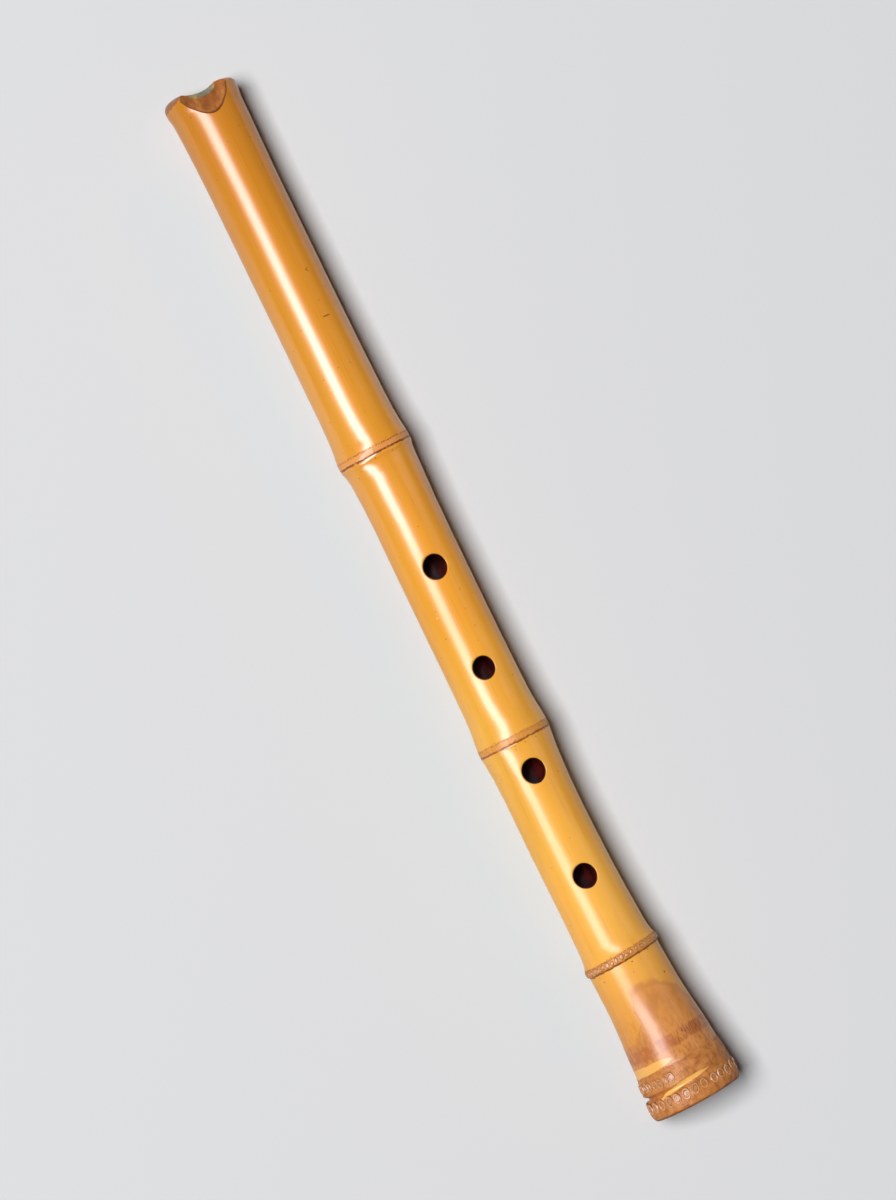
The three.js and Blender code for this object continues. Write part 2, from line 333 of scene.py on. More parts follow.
def ease(value: np.ndarray, low: float, high: float) -> np.ndarray:
    """Goes smoothly from 0 at low to 1 at high.

    Args:
        value: The numbers.
        low: Where the way begins.
        high: Where it ends.

    Returns:
        One share for each number.
    """
    t = np.clip((value - low) / (high - low), 0, 1)
    return t * t * (3 - 2 * t)


@dataclass(frozen=True)
class Node:
    """One node of the bamboo: its ridge, and the scar line below it."""

    place_share: float
    half_width: float
    height: float
    profile: Curve
    scar_depth: float
    scar_width: float = 0.00045
    scar_share: float = -1.0

    def rise(self, station: np.ndarray, length: float) -> np.ndarray:
        """How far the ridge stands out at each station."""
        reach = (station - self.place_share * length) / self.half_width
        return self.height * self.profile.at(reach)

    def scar(self, station: np.ndarray, length: float) -> np.ndarray:
        """How deep the scar line is at each station."""
        middle = self.scar_station(length)
        return self.scar_depth * np.exp(-(((station - middle) / self.scar_width) ** 2))

    def scar_station(self, length: float) -> float:
        """Where the scar line runs."""
        return self.place_share * length + self.scar_share * self.half_width


LOWER_NODE = Node(
    0.1448, 0.0021, 0.0011,
    Curve(((-2.2, 0), (-1.3, 0.1), (-1.05, 0.4), (-0.78, 0.9), (-0.3, 1), (0.5, 1),
           (0.9, 0.86), (1.4, 0.55), (2.2, 0.24), (3.4, 0))),
    0.00025, 0.0004, -1.05,
)
MIDDLE_NODE = Node(
    0.3585, 0.0024, 0.00088,
    Curve(((-5.8, 0), (-3.9, 0.25), (-2.25, 0.5), (-1.15, 0.78), (-0.8, 1), (0.45, 1),
           (1.7, 0.9), (3.4, 0.64), (5.5, 0.28), (8, 0))),
    0.0002, 0.0004, -0.6,
)
UPPER_NODE = Node(
    0.6415, 0.0025, 0.0011,
    Curve(((-4, 0), (-2.2, 0.25), (-1.4, 0.62), (-1.08, 0.9), (-0.85, 1), (0.5, 1),
           (1.1, 0.9), (2, 0.68), (3.2, 0.3), (5.5, 0))),
    0.0002, 0.00035, -0.35,
)


@dataclass(frozen=True)
class Hole:
    """One finger hole or the thumb hole."""

    name: str
    place_share: float
    radius: float
    facing: Facing


NODES = (LOWER_NODE, MIDDLE_NODE, UPPER_NODE)
HOLES = (
    Hole("finger_hole_1_lacquer", 0.223, 0.0051, Facing.FRONT),
    Hole("finger_hole_2_lacquer", 0.3262, 0.0051, Facing.FRONT),
    Hole("finger_hole_3_lacquer", 0.4274, 0.0047, Facing.FRONT),
    Hole("finger_hole_4_lacquer", 0.5265, 0.0051, Facing.FRONT),
    Hole("thumb_hole_lacquer", 0.571, 0.0047, Facing.BACK),
)


@dataclass(frozen=True)
class Form:
    """The shape of the whole culm. A place on it has a station along it, from the root end up."""

    length: float = 0.545
    half_breadth: float = 0.0172
    depth_share: float = 0.955
    side_drift: float = 0.0024
    laid_at: Triple = (-0.2723, 0.00229, 0.00047)
    outline: Curve = Curve((
        (0, 1.32), (0.003, 1.375), (0.009, 1.395), (0.016, 1.355), (0.033, 1.33), (0.04, 1.285),
        (0.062, 1.23), (0.088, 1.15), (0.105, 1.115), (0.135, 1.09), (0.172, 1.03), (0.225, 0.992),
        (0.3, 0.98), (0.335, 1.01), (0.36, 1.03), (0.385, 1), (0.45, 0.982), (0.575, 0.978),
        (0.62, 1.02), (0.65, 1.045), (0.69, 1.015), (0.8, 1), (0.9, 1), (0.965, 1.035),
        (0.98, 1.05), (0.988, 1.088), (0.9945, 1.09), (1, 1.09),
    ))
    drift: Curve = Curve((
        (0, 1), (0.046, 0.8), (0.11, 0.25), (0.156, -0.17), (0.275, -0.58), (0.35, -0.33),
        (0.44, -0.21), (0.53, -0.04), (0.62, 0.2), (0.65, 0), (0.73, 0.02), (0.86, 0.17),
        (0.96, 0.29), (1, 0.08),
    ))
    lean: Curve = Curve(((0, 0.047), (0.15, 0.08), (0.36, 0.023), (0.64, 0.03), (0.9, 0), (1, -0.05)))
    root_rest_share: float = 0.0105
    mouth_bore: float = 0.0102
    choke_bore: float = 0.0079
    root_bore: float = 0.0093
    choke_share: float = 0.2
    lower_bore: Curve = Curve(((0, 1), (0.08, 0.45), (0.14, 0.12), (0.2, 0)))
    upper_bore: Curve = Curve(((0.2, 0), (0.35, 0.3), (0.5, 0.6), (0.65, 0.82), (0.85, 0.96), (1, 1)))
    mouth_rest: float = 0.003
    rim_drop: float = 0.0037
    rim_inset: float = 0.005
    drop_lopside: float = 0.0013
    inset_lopside: float = 0.0015
    chin_drop: float = 0.004
    chin_start_share: float = 0.945
    groove_share: float = 0.0205
    groove_half_width: float = 0.0019
    groove_depth: float = 0.003
    groove_fade: float = 0.0008
    groove_slope: Pair = (0.15, 1.15)
    waviness: float = 0.00007
    wave_scale: Triple = (28, 55, 55)
    root_roughness: float = 0.00022
    bump_scale: float = 420
    bump_detail: Triple = (0.8, 2, 2)
    root_rough_shares: Pair = (0.027, 0.045)

    @property
    def rest_station(self) -> float:
        """Where the mouth end touches what the flute lies on."""
        return self.length - self.mouth_rest

    @property
    def rim_start(self) -> float:
        """Where the rounded rim of the mouth begins on its most worn side."""
        return self.length - self.rim_drop - self.drop_lopside

    def plain_radius(self, station: np.ndarray) -> np.ndarray:
        """The radius with its ridges, before anything is cut or worn."""
        rises = (node.rise(station, self.length) for node in NODES)
        return self.half_breadth * self.outline.at(station / self.length) + sum(rises)

    def radius_at(self, station: float) -> float:
        """The plain radius at one station."""
        return float(self.plain_radius(np.array(station)))

    def bore_at(self, station: float) -> float:
        """The radius of the air at one station."""
        return float(self.bore(np.array(station)))

    def centre_at(self, station: float) -> Vector:
        """The middle line's place at one station, in the frame's own coordinates."""
        side, height = self.middle(np.array(station))
        ahead, across, up = self.laid_at
        return Vector((station + ahead, across - float(side), float(height) + up))

    def bore(self, station: np.ndarray) -> np.ndarray:
        """The radius of the air inside.

        Args:
            station: How far along the culm.

        Returns:
            The radius at each station.
        """
        share = np.asarray(station, float) / self.length
        lower = self.choke_bore + self.lower_bore.at(share) * (self.root_bore - self.choke_bore)
        upper = self.choke_bore + self.upper_bore.at(share) * (self.mouth_bore - self.choke_bore)
        return np.where(share < self.choke_share, lower, upper)

    def middle(self, station: np.ndarray) -> tuple[np.ndarray, np.ndarray]:
        """The middle line, which climbs so that the culm touches what it lies on near both ends.

        Args:
            station: How far along the culm.

        Returns:
            The line's place to the side, and its height above the laid flute's own zero.
        """
        station = np.asarray(station, float)
        root_rest = self.root_rest_share * self.length
        climb = (station - root_rest) / (self.rest_station - root_rest)
        low = self.radius_at(root_rest) * self.depth_share
        high = self.radius_at(self.rest_station) * self.depth_share
        return self.side_drift * self.drift.at(station / self.length), low + climb * (high - low)

    def carry(self, x: np.ndarray, station: np.ndarray, z: np.ndarray) -> np.ndarray:
        """From beside a straight axis to the laid flute.

        Args:
            x: How far to the player's left.
            station: How far along the culm.
            z: How far to the front.

        Returns:
            One row for each place, in the frame's own coordinates.
        """
        side, height = self.middle(station)
        along = station + x * self.lean.at(station / self.length)
        ahead, across, up = self.laid_at
        return np.stack([along + ahead, across - x - side, z + height + up], axis=-1)

    def rim_fall(self, station: np.ndarray, angle: np.ndarray) -> np.ndarray:
        """How far the worn rim of the mouth draws in. It is worn most on the player's right.

        Args:
            station: How far along the culm.
            angle: How far round it, from the front to the player's left.

        Returns:
            How much the radius shrinks.
        """
        left = np.sin(angle)
        up = np.clip(1 - (self.length - station) / (self.rim_drop - self.drop_lopside * left), 0, 1)
        inset = self.rim_inset - self.inset_lopside * left
        return inset * (1 - np.sqrt(1 - up**2))

    def groove(self, station: np.ndarray, angle: np.ndarray) -> np.ndarray:
        """How deep the groove between the two rings of root stubs is. It fades to the left.

        Args:
            station: How far along the culm.
            angle: How far round it.

        Returns:
            How much the radius shrinks.
        """
        away = np.abs(station - self.groove_share * self.length) / self.groove_half_width
        depth = self.groove_depth / 2 * (1 - np.sin(angle)) - self.groove_fade
        return np.clip(depth, 0, None) * (1 - ease(away, *self.groove_slope))

    def relief(self, station: np.ndarray, angle: np.ndarray) -> np.ndarray:
        """The small unevenness of grown bamboo: slight waves, and rough tissue at the root end.

        Args:
            station: How far along the culm.
            angle: How far round it.

        Returns:
            How much the radius grows.
        """
        radius = self.half_breadth
        places = np.stack([station, radius * np.sin(angle), radius * np.cos(angle)], axis=-1)
        waves = np.array([noise.noise(Vector(place)) for place in places * self.wave_scale])
        bumps = np.array([noise.fractal(Vector(p) * self.bump_scale, *self.bump_detail) for p in places])
        rough = 1 - ease(station / self.length, *self.root_rough_shares)
        return self.waviness * waves + self.root_roughness * bumps * rough

    def skin(self, station: np.ndarray, angle: np.ndarray) -> np.ndarray:
        """The radius of the finished skin.

        Args:
            station: How far along the culm.
            angle: How far round it.

        Returns:
            The radius at each place.
        """
        held = np.clip(station, 0, self.length)
        scars = sum(node.scar(held, self.length) for node in NODES)
        grown = self.plain_radius(held) + self.relief(held, angle) - scars
        return grown - self.groove(held, angle) - self.rim_fall(held, angle)

    def chin(self, station: np.ndarray, z: np.ndarray) -> np.ndarray:
        """How far the chin's side of the mouth drops.

        Args:
            station: How far along the culm.
            z: How far to the front, which is below zero on the chin's side.

        Returns:
            How much shorter the culm is there.
        """
        back = self.radius_at(self.rest_station) * self.depth_share
        share = ease(station / self.length, self.chin_start_share, 1)
        return self.chin_drop * share * np.clip(-z / back, 0, None)


FORM = Form()


# The finishes


def tone(red: int, green: int, blue: int) -> Colour:
    """A colour as a screen shows it, from 0 to 255, in the linear values that a shader takes.

    Args:
        red: How red it is.
        green: How green it is.
        blue: How blue it is.

    Returns:
        The colour, quite opaque.
    """
    channels = [value / 255 for value in (red, green, blue)]
    linear = [c / 12.92 if c <= 0.04045 else ((c + 0.055) / 1.055) ** 2.4 for c in channels]
    return (linear[0], linear[1], linear[2], 1)


Stops = tuple[tuple[float, Colour], ...]


@dataclass(frozen=True)
class Layer:
    """A colour that is laid over another, and how much of it shows where it is full."""

    colour: Colour | Socket
    share: float = 1.0


@dataclass(frozen=True)
class Patches:
    """A random pattern: its lumps to the metre, the levels at which it starts and is full, and its detail."""

    scale: Triple
    start: float = 0.0
    full: float = 1.0
    detail: float = 2
    rough: float = 0.5
    shift: Triple = (0, 0, 0)


@dataclass(frozen=True)
class Pores:
    """Scattered dots: how many to the metre, their size and core in cells, and how rare they are."""

    scale: Triple
    size: float
    core: float
    rarity: float
    shift: Triple = (0, 0, 0)


class Graph:
    """The nodes of one finish, added call by call around its shader."""

    def __init__(self, name: str) -> None:
        """Starts a material with a plain shader."""
        self.material = bpy.data.materials.new(name)
        self.material.use_nodes = True
        self.nodes = self.material.node_tree.nodes
        self.links = self.material.node_tree.links
        self.shader = self.nodes["Principled BSDF"]
        self.place = self.nodes.new("ShaderNodeTexCoord").outputs["Object"]

    def feed(self, socket: Socket, value: Value | Sequence[float]) -> None:
        """Links a value to a socket, or sets it there.

        Args:
            socket: What takes the value.
            value: Another node's output, or a number or colour.
        """
        if isinstance(value, bpy.types.NodeSocket):
            self.links.new(value, socket)
        else:
            socket.default_value = value

    def set(self, **values: Value | Sequence[float]) -> None:
        """Feeds the shader's sockets, named with underscores for spaces."""
        for name, value in values.items():
            self.feed(self.shader.inputs[name.replace("_", " ")], value)

    def add(self, kind: str, feeds: dict, **settings: object) -> bpy.types.Node:
        """Adds one node.

        Args:
            kind: The node's type, without the words that all of them begin with.
            feeds: What goes into its sockets, by their names or numbers.
            settings: Its other settings.

        Returns:
            The node.
        """
        node = self.nodes.new("ShaderNode" + kind)
        for name, setting in settings.items():
            setattr(node, name, setting)
        for key, value in feeds.items():
            self.feed(node.inputs[key], value)
        return node

    def apart(self, place: Socket) -> Sequence[Socket]:
        """The three numbers of a place."""
        return self.add("SeparateXYZ", {0: place}).outputs

    def math(self, way: str, *values: Value, clamp: bool = False) -> Socket:
        """One operation on numbers.

        Args:
            way: The operation.
            values: Its numbers, in their order.
            clamp: Whether the result stays between 0 and 1.

        Returns:
            The result.
        """
        return self.add("Math", dict(enumerate(values)), operation=way, use_clamp=clamp).outputs[0]

    def minus(self, value: Value, less: Value) -> Socket:
        """The difference of two numbers."""
        return self.math("SUBTRACT", value, less)

    def times(self, first: Value, *others: Value) -> Value:
        """The product of numbers.

        Args:
            first: The first number.
            others: The others, if any.

        Returns:
            The product.
        """
        for other in others:
            first = self.math("MULTIPLY", first, other)
        return first

    def plus(self, value: Value, factor: Value, other: Value) -> Socket:
        """A number with a share of another added."""
        return self.math("MULTIPLY_ADD", other, factor, value)

    def band(self, value: Value, low: float, high: float) -> Socket:
        """Goes smoothly from 0 at low to 1 at high."""
        feeds = dict(enumerate((value, low, high)))
        return self.add("MapRange", feeds, interpolation_type="SMOOTHSTEP").outputs[0]

    def near(self, value: Value, middle: Value, reach: float, soft: float) -> Socket:
        """1 within a reach of the middle, and 0 past it by the softness."""
        away = self.math("ABSOLUTE", self.minus(value, middle))
        return self.band(away, reach + soft, reach)

    def curve(self, value: Socket, points: Sequence[Pair]) -> Socket:
        """A smooth line through given points, level past its ends.

        Args:
            value: The number that is looked up.
            points: The line's places and heights, in metres.

        Returns:
            The line's height.
        """
        across, up = zip(*points)
        low, run, rise = min(up), across[-1] - across[0], max(up) - min(up)
        share = self.math("DIVIDE", self.minus(value, across[0]), run, clamp=True)
        node = self.add("FloatCurve", {"Value": share})
        line = node.mapping.curves[0]
        for _ in points[2:]:
            line.points.new(0.5, 0.5)
        for point, (place, height) in zip(line.points, points):
            point.location = ((place - across[0]) / run, (height - low) / rise)
        node.mapping.update()
        return self.plus(low, rise, node.outputs[0])

    def lay(self, under: Socket | Colour, layer: Layer, *shares: Socket, way: str = "MIX") -> Socket:
        """Lays a colour over another.

        Args:
            under: The colour below.
            layer: The colour above, and how much of it shows.
            shares: Where it lies. With more than one, it lies where all of them are.
            way: How the two are mixed.

        Returns:
            The mixed colour.
        """
        feeds = {0: self.times(*shares, layer.share), 6: under, 7: layer.colour}
        return self.add("Mix", feeds, data_type="RGBA", blend_type=way).outputs[2]

    def scaled(self, scale: Triple, shift: Triple) -> Socket:
        """The place on the object with its axes stretched, so that a pattern on it is drawn out."""
        return self.add("Mapping", {"Vector": self.place, "Location": shift, "Scale": scale}).outputs[0]

    def cloud(self, pattern: Patches) -> Socket:
        """A soft random pattern from 0 to 1, the same wherever it is asked for."""
        place = self.scaled(pattern.scale, pattern.shift)
        feeds = {"Vector": place, "Scale": 1, "Detail": pattern.detail, "Roughness": pattern.rough}
        return self.add("TexNoise", feeds).outputs[0]

    def patches(self, pattern: Patches) -> Socket:
        """Where a random pattern shows."""
        return self.band(self.cloud(pattern), pattern.start, pattern.full)

    def astray(self, value: Socket, pattern: Patches, reach: float) -> Socket:
        """A number that wanders up and down with a random pattern."""
        return self.plus(value, reach, self.minus(self.cloud(pattern), 0.5))

    def cells(self, scale: Triple, shift: Triple = (0, 0, 0)) -> tuple[Socket, Socket]:
        """Scattered points.

        Args:
            scale: How many there are to the metre.
            shift: How far the whole pattern is moved.

        Returns:
            The distance to the nearest point, and that point's own random number.
        """
        node = self.add("TexVoronoi", {"Vector": self.scaled(scale, shift), "Scale": 1})
        parts = self.add("SeparateColor", {0: node.outputs["Color"]})
        return node.outputs["Distance"], parts.outputs[0]

    def dots(self, pores: Pores) -> Socket:
        """Where scattered dots are.

        Args:
            pores: The dots.

        Returns:
            1 in the core of a dot, and 0 outside it.
        """
        away, chance = self.cells(pores.scale, pores.shift)
        there = self.math("GREATER_THAN", chance, pores.rarity)
        return self.times(self.band(away, pores.size, pores.core), there)

    def ramp(self, value: Socket, stops: Stops) -> Socket:
        """A colour that goes from stop to stop.

        Args:
            value: The number that is looked up.
            stops: The colours and their places.

        Returns:
            The colour.
        """
        node = self.add("ValToRGB", {0: value})
        bar = node.color_ramp.elements
        while len(bar) < len(stops):
            bar.new(1)
        for element, (place, colour) in zip(bar, stops):
            element.position, element.color = place, colour
        return node.outputs[0]

    def bump(self, height: Socket, distance: float, under: Socket | None = None) -> Socket:
        """A surface's slope from its height.

        Args:
            height: The height, from 0 to 1.
            distance: How high 1 is, in metres.
            under: Another slope below it, if any.

        Returns:
            The slope.
        """
        feeds = {"Strength": 1, "Distance": distance, "Height": height}
        return self.add("Bump", feeds | ({} if under is None else {"Normal": under})).outputs[0]


@dataclass(frozen=True)
class Mark:
    """A small accident of the skin: where it is, how large, how turned, and what colour."""

    station: float
    girth: float
    half_length: float
    half_breadth: float
    degrees: float
    layer: Layer


@dataclass(frozen=True)
class NodeTint:
    """How one node is coloured: its band, the line under it and the dots along its upper edge."""

    node: Node
    band: Layer
    line: Layer
    dots: Layer
    top_share: float


@dataclass(frozen=True)
class Stripe:
    """A pale stripe around part of the root end: its middle and its half width at each girth."""

    layer: Layer
    middle: Line
    half_width: Line


@dataclass(frozen=True)
class BambooSkin:
    """Polished old bamboo skin: amber, with scars at its nodes and mottled brown at the root.

    A zone is its middle, its reach and its softness. A way is where something begins and is full.
    Both are in metres, along the culm or around it.
    """

    roughness: float = 0.36
    rough_more: float = 0.2
    polish_less: float = -0.6
    specular: float = 0.12
    coat_weight: float = 0.46
    coat_ior: float = 2.4
    coat_roughness: float = 0.22
    polish: Line = (
        (0, 0.38), (0.05, 0.38), (0.066, 0.22), (0.085, 0.36), (0.155, 0.38), (0.21, 0.7),
        (0.256, 0.48), (0.317, 0.82), (0.382, 1), (0.447, 0.82), (0.545, 0.64),
    )
    tissue: Patches = Patches((900, 900, 900), detail=3, rough=0.6)
    tissue_height: float = 0.0004
    tissue_coat_height: float = 0.00025
    fibre_height: float = 0.00001

    stops: Stops = (
        (0.0, tone(206, 134, 60)), (0.06, tone(222, 148, 64)), (0.1, tone(238, 167, 76)),
        (0.16, tone(254, 188, 82)), (0.28, tone(255, 184, 72)), (0.38, tone(254, 182, 66)),
        (0.48, tone(248, 167, 52)), (0.6, tone(244, 162, 50)), (0.7, tone(240, 159, 46)),
        (0.8, tone(230, 149, 41)), (0.93, tone(219, 139, 36)), (1.0, tone(212, 132, 34)),
    )
    clouds: Patches = Patches((9, 42, 42), 0.36, 0.66, 2, 0.55)
    cloud_tone: Layer = Layer(tone(206, 118, 34), 0.22)
    fine_fibres: Patches = Patches((14, 1500, 1500), detail=3, rough=0.6)
    wide_fibres: Patches = Patches((5, 260, 260), shift=(3, 1, 7))
    fine_share: float = 0.6
    dark_grain: Layer = Layer(tone(176, 96, 28), 0.2)
    dark_way: Pair = (0.5, 0.3)
    pale_grain: Layer = Layer(tone(252, 190, 98), 0.22)
    pale_way: Pair = (0.52, 0.75)
    # Painted shade: a darker tone multiplied over the left flank, to dim the light that falls on that side.
    painted_flank_shade: Layer = Layer((0.9, 0.94, 0.96, 1))
    painted_flank_shade_zone: Triple = (-0.0175, 0.005, 0.006)
    painted_flank_shade_way: Pair = (0.11, 0.15)

    wander: Patches = Patches((260, 260, 260), detail=3)
    wander_reach: float = 0.0009
    node_tints: tuple[NodeTint, ...] = (
        NodeTint(
            LOWER_NODE, Layer(tone(206, 130, 66), 0.85),
            Layer(tone(150, 88, 42)), Layer(tone(150, 84, 40), 0.6), 0.85,
        ),
        NodeTint(
            MIDDLE_NODE, Layer(tone(214, 136, 66), 0.8),
            Layer(tone(150, 80, 34)), Layer(tone(170, 92, 40), 0.5), 0.79,
        ),
        NodeTint(
            UPPER_NODE, Layer(tone(232, 154, 92), 0.7),
            Layer(tone(134, 64, 26)), Layer(tone(176, 80, 40), 0.95), 0.96,
        ),
    )
    node_dots: Patches = Patches((1500, 1500, 1500), 0.42, 0.6)
    line_breaks: Patches = Patches((300, 300, 300), 0.2, 0.45, shift=(5, 2, 8))
    band_mottle: Patches = Patches((420, 900, 900), 0.4, 0.6, 3, 0.6, (6, 3, 1))
    mottle_share: float = 0.4
    ragged: Patches = Patches((650, 650, 650), detail=2, rough=0.6, shift=(3, 7, 1))
    ragged_reach: float = 0.0014
    band_soft: float = 0.0005
    dots_zone: Pair = (0.0002, 0.0004)
    line_reach: float = 0.00012
    line_scar_share: float = 0.4
    line_soft: float = 0.0004

    arch: Line = (
        (-0.027, 0.037), (-0.0193, 0.037), (-0.0127, 0.041), (-0.01, 0.049), (-0.0089, 0.055),
        (-0.0074, 0.0604), (-0.0039, 0.0633), (0, 0.0635), (0.0052, 0.062), (0.0099, 0.0573),
        (0.014, 0.052), (0.0164, 0.049), (0.024, 0.042), (0.034, 0.038), (0.081, 0.037),
    )
    uneven: Patches = Patches((90, 90, 90), detail=3, rough=0.55, shift=(1, 4, 2))
    wavy_reach: float = 0.006
    fine_reach: float = 0.0022
    drift_reach: float = 0.012
    patch: Layer = Layer(tone(218, 144, 76), 0.85)
    patch_way: Pair = (-0.003, 0.0032)
    patch_edge: Layer = Layer(tone(192, 120, 62), 0.42)
    edge_zone: Triple = (0.001, 0.0004, 0.0026)
    blotch: Layer = Layer(tone(192, 120, 62), 0.55)
    blotches: Patches = Patches((70, 150, 150), 0.46, 0.68, 3, 0.6, (7, 5, 5))
    blotch_way: Pair = (0, 0.006)
    mottle: Layer = Layer(tone(168, 98, 50), 0.55)
    mottles: Patches = Patches((260, 800, 800), 0.46, 0.62, 4, 0.62, (2, 9, 3))
    mottle_way: Pair = (0.056, 0.028)

    fibres: Layer = Layer(tone(184, 106, 58), 0.85)
    fibre_zone: Triple = (0.0325, 0.0022, 0.0018)
    fibre_patches: Patches = Patches((170, 260, 260), 0.34, 0.6, 4, 0.6, (9, 2, 6))
    fibre_gap: Layer = Layer(tone(132, 70, 36), 0.75)
    fibre_gaps: Patches = Patches((200, 1700, 1700), 0.48, 0.62, 3, 0.6, (4, 4, 1))
    gap_way: Pair = (-0.004, 0.006)
    root_stops: Stops = ((0.26, tone(138, 80, 40)), (0.46, tone(190, 117, 56)), (0.74, tone(218, 148, 84)))
    root_clouds: Patches = Patches((330, 330, 330), detail=4, rough=0.55, shift=(8, 1, 5))
    root_share: float = 0.85
    root_way: Pair = (0.0236, 0.0218)
    root_edge: Layer = Layer(tone(104, 50, 26), 0.8)
    root_edge_way: Pair = (0.0014, 0.0003)
    stripes: tuple[Stripe, ...] = (
        Stripe(
            Layer(tone(250, 190, 100)),
            ((-0.0145, 0.0096), (-0.0122, 0.0106), (0, 0.0121), (0.0063, 0.0127), (0.01, 0.0128)),
            ((-0.0155, 0), (-0.0132, 0.0012), (0, 0.00135), (0.0045, 0.0008), (0.0075, 0)),
        ),
        Stripe(
            Layer(tone(244, 180, 92)),
            ((-0.027, 0.0243), (-0.0159, 0.0247), (-0.0053, 0.0253), (0.081, 0.0243)),
            (
                (-0.027, 0.0026), (-0.0159, 0.0024), (-0.0053, 0.0012), (-0.0018, 0), (0.058, 0),
                (0.081, 0.0026),
            ),
        ),
    )
    stripe_soft: float = 0.0005

    worn: Layer = Layer(tone(148, 80, 32), 0.8)
    worn_from: Line = (
        (-0.027, 0.5392), (-0.014, 0.5418), (-0.006, 0.5455), (0.06, 0.5455), (0.081, 0.5392),
    )
    worn_way: Pair = (-0.0001, 0.0003)
    worn_line: Layer = Layer(tone(92, 46, 18), 0.85)
    worn_zone: Triple = (0, 0.0001, 0.0003)
    worn_dots: Patches = Patches((1100, 1100, 1100), 0.42, 0.58, shift=(4, 7, 2))

    pore: Layer = Layer(tone(92, 46, 18), 0.75)
    pores: tuple[Pores, ...] = (
        Pores((420, 420, 420), 0.16, 0.064, 0.93),
        Pores((230, 230, 230), 0.1, 0.04, 0.965),
    )
    node_pore: Layer = Layer(tone(92, 46, 18), 0.7)
    node_pores: Pores = Pores((700, 700, 700), 0.35, 0.15, 0.86, (3, 3, 3))
    node_pore_zone: Triple = (-0.001, 0.002, 0.004)
    marks: tuple[Mark, ...] = (
        Mark(0.4187, 0.0065, 0.00026, 0.0021, 4, Layer(tone(110, 34, 16), 0.95)),
        Mark(0.4426, 0.0078, 0.0011, 0.00024, -52, Layer(tone(150, 82, 26), 0.75)),
        Mark(0.4434, 0.0078, 0.0011, 0.00024, 52, Layer(tone(150, 82, 26), 0.75)),
        Mark(0.2603, -0.0031, 0.0105, 0.00009, 0.9, Layer(tone(150, 84, 34), 0.75)),
        Mark(0.2644, -0.0106, 0.0006, 0.0003, 30, Layer(tone(252, 220, 168), 0.8)),
        Mark(0.3722, -0.0166, 0.0003, 0.0002, 0, Layer(tone(96, 48, 22), 0.9)),
        Mark(0.3926, -0.0042, 0.0003, 0.0002, 20, Layer(tone(110, 52, 22), 0.9)),
        Mark(0.427, 0.0065, 0.00025, 0.0002, 0, Layer(tone(110, 52, 22), 0.9)),
        Mark(0.2235, 0.0132, 0.0011, 0.00015, 70, Layer(tone(150, 84, 36), 0.7)),
        Mark(0.181, -0.0183, 0.0003, 0.00025, 0, Layer(tone(110, 52, 22), 0.9)),
        Mark(0.0746, 0.0006, 0.0003, 0.0004, 0, Layer(tone(104, 52, 24), 0.9)),
        Mark(0.0723, -0.016, 0.0003, 0.0003, 0, Layer(tone(110, 52, 22), 0.9)),
        Mark(0.062, 0.0125, 0.0005, 0.0004, 0, Layer(tone(110, 58, 28), 0.9)),
    )
    mark_way: Pair = (1.6, 0.5)

    def build(self) -> bpy.types.Material:
        """Makes the material, from the ground up.

        Returns:
            The material.
        """
        graph = Graph("bamboo_skin")
        station, girth = graph.apart(graph.add("UVMap", {}, uv_map=SHEET_MAP).outputs[0])[:2]
        wandering = graph.astray(station, self.wander, self.wander_reach)
        fibre = graph.cloud(self.fine_fibres)
        colour = self._ground(graph, station, girth, fibre)
        colour = self._patch(graph, colour, station, girth)
        colour, rough_root = self._root_tissue(graph, colour, station, girth)
        colour = self._worn_mouth(graph, colour, wandering, girth)
        colour, scars = self._nodes(graph, colour, wandering)
        colour = self._pores(graph, colour, station)
        colour = self._marks(graph, colour, station, girth)
        rough = graph.math("MAXIMUM", scars, rough_root)
        tissue = graph.times(graph.cloud(self.tissue), rough)
        fine = graph.bump(fibre, self.fibre_height)
        polish = graph.times(graph.curve(station, self.polish), self.coat_weight)
        graph.set(
            Base_Color=colour,
            Roughness=graph.plus(self.roughness, self.rough_more, rough),
            Specular_IOR_Level=self.specular,
            Normal=graph.bump(tissue, self.tissue_height, fine),
            Coat_Weight=graph.times(polish, graph.plus(1, self.polish_less, rough)),
            Coat_Roughness=self.coat_roughness,
            Coat_IOR=self.coat_ior,
            Coat_Normal=graph.bump(tissue, self.tissue_coat_height),
        )
        return graph.material

    def _ground(self, graph: Graph, station: Socket, girth: Socket, fibre: Socket) -> Socket:
        """The amber of the skin, with its clouds, its lengthwise fibres and painted shade that darkens its
        left flank.

        Args:
            graph: The finish.
            station: How far along the culm a place is.
            girth: How far round it.
            fibre: The pattern of the fine fibres.

        Returns:
            The colour.
        """
        colour = graph.ramp(graph.math("DIVIDE", station, FORM.length), self.stops)
        colour = graph.lay(colour, self.cloud_tone, graph.patches(self.clouds))
        wide = graph.times(graph.cloud(self.wide_fibres), 1 - self.fine_share)
        grain = graph.plus(wide, self.fine_share, fibre)
        colour = graph.lay(colour, self.dark_grain, graph.band(grain, *self.dark_way))
        colour = graph.lay(colour, self.pale_grain, graph.band(grain, *self.pale_way))
        # Painted shade: the left flank is multiplied darker, from just above the root end upwards.
        painted_flank_shade = graph.near(girth, *self.painted_flank_shade_zone)
        return graph.lay(colour, self.painted_flank_shade, painted_flank_shade, graph.band(station, *self.painted_flank_shade_way), way="MULTIPLY")

